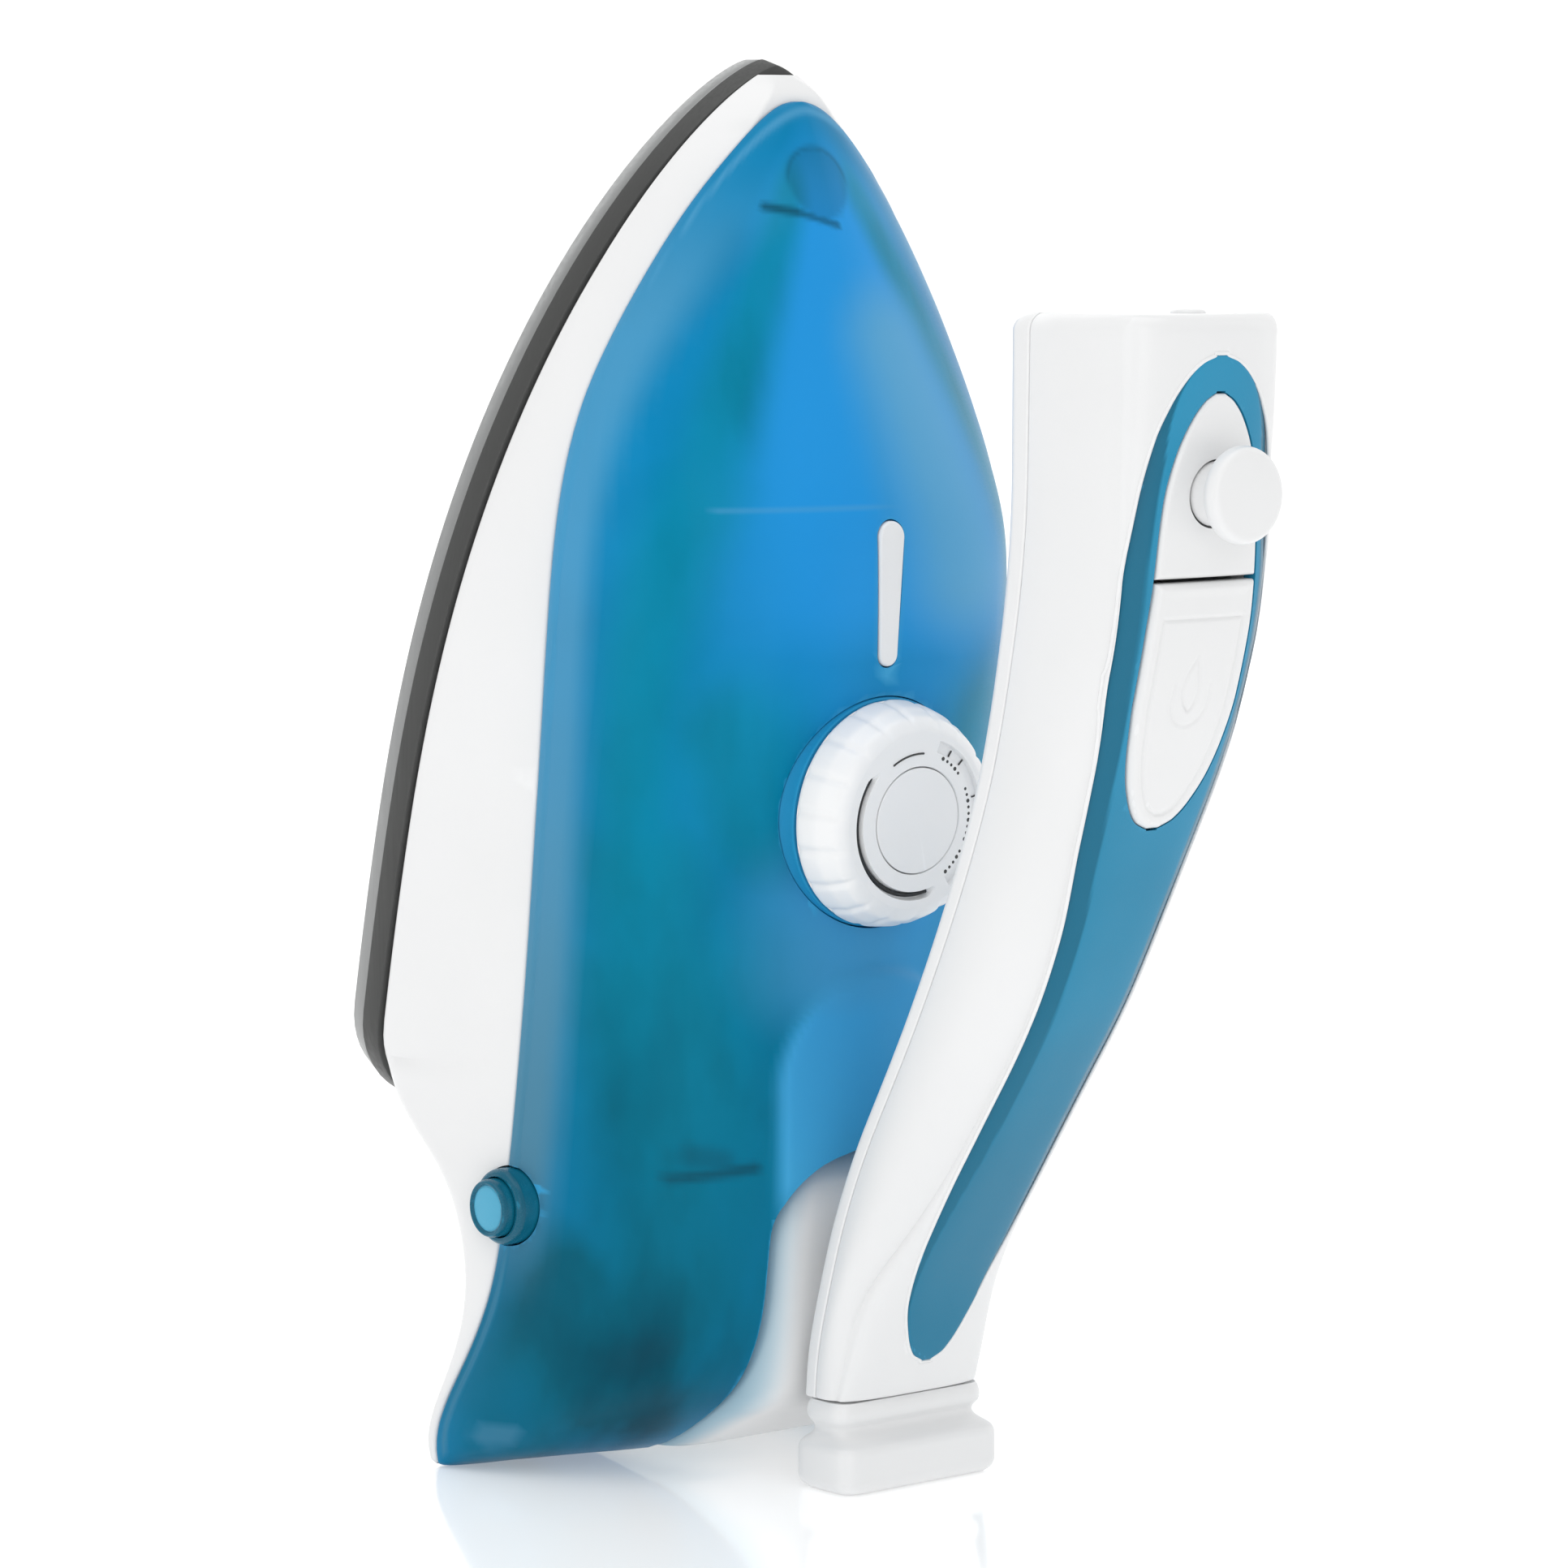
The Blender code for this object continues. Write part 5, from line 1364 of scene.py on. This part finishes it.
def button_relief(x, up, near):
    """Rounded rim, an inset outline groove and the engraved steam mark."""
    inset = min(near, GROOVE_TOP - up + GROOVE_INSET)
    groove = math.exp(-(((inset - GROOVE_INSET) / GROOVE_HALF) ** 2)) if inset > 0 else 0.0
    rim = 0.18 * math.exp(-(((near - 1.0) / 0.8) ** 2))
    mark = math.exp(-((steam_mark(x, up) / 0.24) ** 2))
    return 0.75 + rim - tuck(near, 1.0) - 0.24 * groove - 0.2 * mark


def steam_button():
    low, high = LINES["panel_half"][0][0], SPLIT_UP - 0.3
    made = skin_piece("burst_button", "panel_half", low, high, -2.0, button_relief, WHITE, 96, 0.3, -0.12)
    show(made, "button_body", "white_plastic", "steam_button")


def steam_knob():
    corners = [
        (2.6, -8.0), (2.6, -4.6), (KNOB_NECK, -4.6), (KNOB_NECK, 4.1), (KNOB_NECK + 0.8, 4.9),
        (KNOB_RADIUS - 0.3, 5.6), (KNOB_RADIUS, 6.6), (KNOB_RADIUS - 0.5, 8.2), (0.0, 8.55),
    ]
    profile = [(0.0, -8.0), *soften(corners, (0.2, 0.2, 0.6, 0.6, 0.6, 1.0, 0.9), 5)]
    made = turned("steam_push_knob", profile, (0, KNOB_BASE, KNOB_UP), (0, -1, 0), WHITE, 96)
    show(made, "knob_body", "white_plastic", "steam_knob")
    # A dark ring in the gap round the knob's neck is painted shadow.
    inner, outer = KNOB_NECK + 0.06, KNOB_NECK + 0.26
    ring = [(inner, 0.0), (outer, 0.0), (outer, 0.6), (inner, 0.6)]
    made = turned("knob_gap_shadow", ring, (0, crown(0, KNOB_UP) - 0.4, KNOB_UP), (0, -1, 0), GAP_DARK, 64)
    show(made, "handle_body", "inner_plastic")


def handle_foot():
    rings = []
    for up in rows((0, 2, 0.25), (2, 5.6, 0.9), (5.6, 13.2, 0.2)):
        half, back, front, radius = (line("foot_" + str(k), up, 0.4) for k in range(1, 5))
        corners = [(0.0, back), (half, back), (half, front), (0.0, front)]
        points = soften(corners, (radius * 1.25, radius * 1.25), 8)
        near_back, near_front = (0.5 * half, back), (0.5 * half, front)
        rings.append(mirrored([points[0], near_back, *points[1:-1], near_front, points[-1]], up))
    made = loft("handle_shoe", rings, WHITE, 40)
    show(made, "handle_body", "white_plastic", "handle_foot")


# ---------------------------------------------------------------- return springs
# node, piece, fixed end, moving end, coil and wire radius, turns, body, joint, share of length kept
SPRINGS = (
    ("steam_spring", "steam_coil", (0, 74.7, 120.0), (0, 81.4, 120.0), 2.6, 0.35, 5, "handle_body",
     "button_press", 0.84),
    ("knob_spring", "knob_coil", (0, 70.3, KNOB_UP), (0, 79.8, KNOB_UP), 2.0, 0.3, 6, "handle_body",
     "knob_press", 0.74),
    ("release_spring", "release_coil", at_release(-37.9), at_release(-40.8), 2.2, 0.25, 3, "iron_body",
     "release_press", 0.36),
)


def springs():
    """Each return spring as a coil of wire from its fixed end to its moving end."""
    for node, name, fixed, moving, radius, wire, turns, body, joint, keep in SPRINGS:
        direction, side, other = frame_of(Vector(moving) - Vector(fixed))
        path = []
        for k in range(turns * 20 + 1):
            angle = 2 * math.pi * k / 20
            ray = side * math.cos(angle) + other * math.sin(angle)
            path.append(Vector(fixed).lerp(Vector(moving), k / (turns * 20)) + ray * radius)
        made = tube(name, path, wire, STEEL, 10)
        show(made, body, "steel", node)
        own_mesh(made)


for build in (
    soleplate, skirt, pylon, water_tank, inside_tank, dial, lamp_window, release, cord_gland,
    handle_shell, handle_lid, grip_inlay, front_panel, steam_button, steam_knob, handle_foot,
    springs,
):
    build()


# ---------------------------------------------------------------- floor, light and camera
FLOOR_REACH, FLOOR_WALL_AT, FLOOR_CURVE, FLOOR_TOP = 9.0, 1.44, 0.5, 2.6  # metres
FLOOR_TURN = math.radians(40)
PURE_WHITE = (1.0, 1.0, 1.0, 1.0)
MIRROR_SHARE, MIRROR_ROUGHNESS, FLOOR_GLOW = 0.36, 0.10, 0.27


def floor():
    """A white sweep, square to the camera, that mirrors the object softly."""
    bm = bmesh.new()
    profile = [(-FLOOR_REACH, 0.0), (FLOOR_WALL_AT, 0.0)]
    for k in range(1, 13):
        angle = math.radians(7.5 * k)
        back = FLOOR_WALL_AT + FLOOR_CURVE * math.sin(angle)
        profile.append((back, FLOOR_CURVE * (1 - math.cos(angle))))
    profile.append((FLOOR_WALL_AT + FLOOR_CURVE, FLOOR_TOP))
    made = []
    cosine, sine = math.cos(FLOOR_TURN), math.sin(FLOOR_TURN)
    for x in (-FLOOR_REACH, FLOOR_REACH):
        made.append([bm.verts.new((x * cosine + y * sine, y * cosine - x * sine, z)) for y, z in profile])
    for i in range(len(profile) - 1):
        bm.faces.new((made[0][i], made[1][i], made[1][i + 1], made[0][i + 1]))
    mesh = bpy.data.meshes.new("studio_floor")
    bm.to_mesh(mesh)
    bm.free()
    mesh.shade_smooth()
    material = bpy.data.materials.new("studio_floor")
    material.use_nodes = True
    tree = material.node_tree
    tree.nodes.remove(tree.nodes["Principled BSDF"])
    matt = add(tree, "ShaderNodeBsdfDiffuse", [("Color", (0.93, 0.93, 0.93, 1.0))])
    sheen = add(tree, "ShaderNodeBsdfGlossy", [("Color", PURE_WHITE), ("Roughness", MIRROR_ROUGHNESS)])
    both = add(tree, "ShaderNodeMixShader", [(0, MIRROR_SHARE), (1, matt.outputs[0]), (2, sheen.outputs[0])])
    glow = add(tree, "ShaderNodeEmission", [("Color", PURE_WHITE), ("Strength", FLOOR_GLOW)])
    both = add(tree, "ShaderNodeAddShader", [(0, both.outputs[0]), (1, glow.outputs[0])])
    tree.links.new(both.outputs[0], tree.nodes["Material Output"].inputs[0])
    mesh.materials.append(material)
    stage = place("studio_floor", mesh)
    stage.location.z = -0.0002


SOFTBOXES = (  # name, place and size in metres, power in watts
    ("soft_top", (-0.1, -0.15, 1.5), (1.4, 1.4), 6.2),
    ("soft_left", (-1.3, 0.1, 0.5), (0.9, 1.3), 1.7),
    ("soft_front", (-0.85, -1.35, 0.5), (0.9, 1.2), 2.6),
    ("soft_right", (1.3, -0.5, 0.6), (0.6, 1.2), 0.7),
    ("soft_back", (0.2, 1.4, 0.9), (1.2, 0.8), 2.0),
)
SOFTBOX_AIM = Vector((0.0, 0.0, 0.10))
AIR_STRENGTH = 0.72


def lights():
    for name, spot, size, power in SOFTBOXES:
        data = bpy.data.lights.new(name, "AREA")
        data.shape = "RECTANGLE"
        data.size, data.size_y = size
        data.energy = power
        lamp = place(name, data)
        lamp.location = spot
        lamp.rotation_euler = (SOFTBOX_AIM - Vector(spot)).to_track_quat("-Z", "Y").to_euler()
    world_light = bpy.data.worlds.new("studio_air")
    world_light.use_nodes = True
    background = world_light.node_tree.nodes["Background"]
    background.inputs[0].default_value = PURE_WHITE
    background.inputs[1].default_value = AIR_STRENGTH
    bpy.context.scene.world = world_light


CAMERA_AIM = Vector((-0.0023, 0.02273, 0.10225))
CAMERA_AZIMUTH, CAMERA_ELEVATION = math.radians(-40.0), math.radians(5.92)
CAMERA_DISTANCE, CAMERA_LENS, CAMERA_SENSOR = 0.8537, 130.4, 36.0


def camera():
    data = bpy.data.cameras.new("view")
    data.lens, data.sensor_width, data.sensor_fit = CAMERA_LENS, CAMERA_SENSOR, "HORIZONTAL"
    made = place("view", data)
    away = Vector((
        math.sin(CAMERA_AZIMUTH) * math.cos(CAMERA_ELEVATION),
        -math.cos(CAMERA_AZIMUTH) * math.cos(CAMERA_ELEVATION),
        math.sin(CAMERA_ELEVATION),
    ))
    made.location = CAMERA_AIM + away * CAMERA_DISTANCE
    made.rotation_euler = (-away).to_track_quat("-Z", "Y").to_euler()
    bpy.context.scene.camera = made


floor()
lights()
camera()
bpy.context.scene.view_settings.view_transform = "Standard"
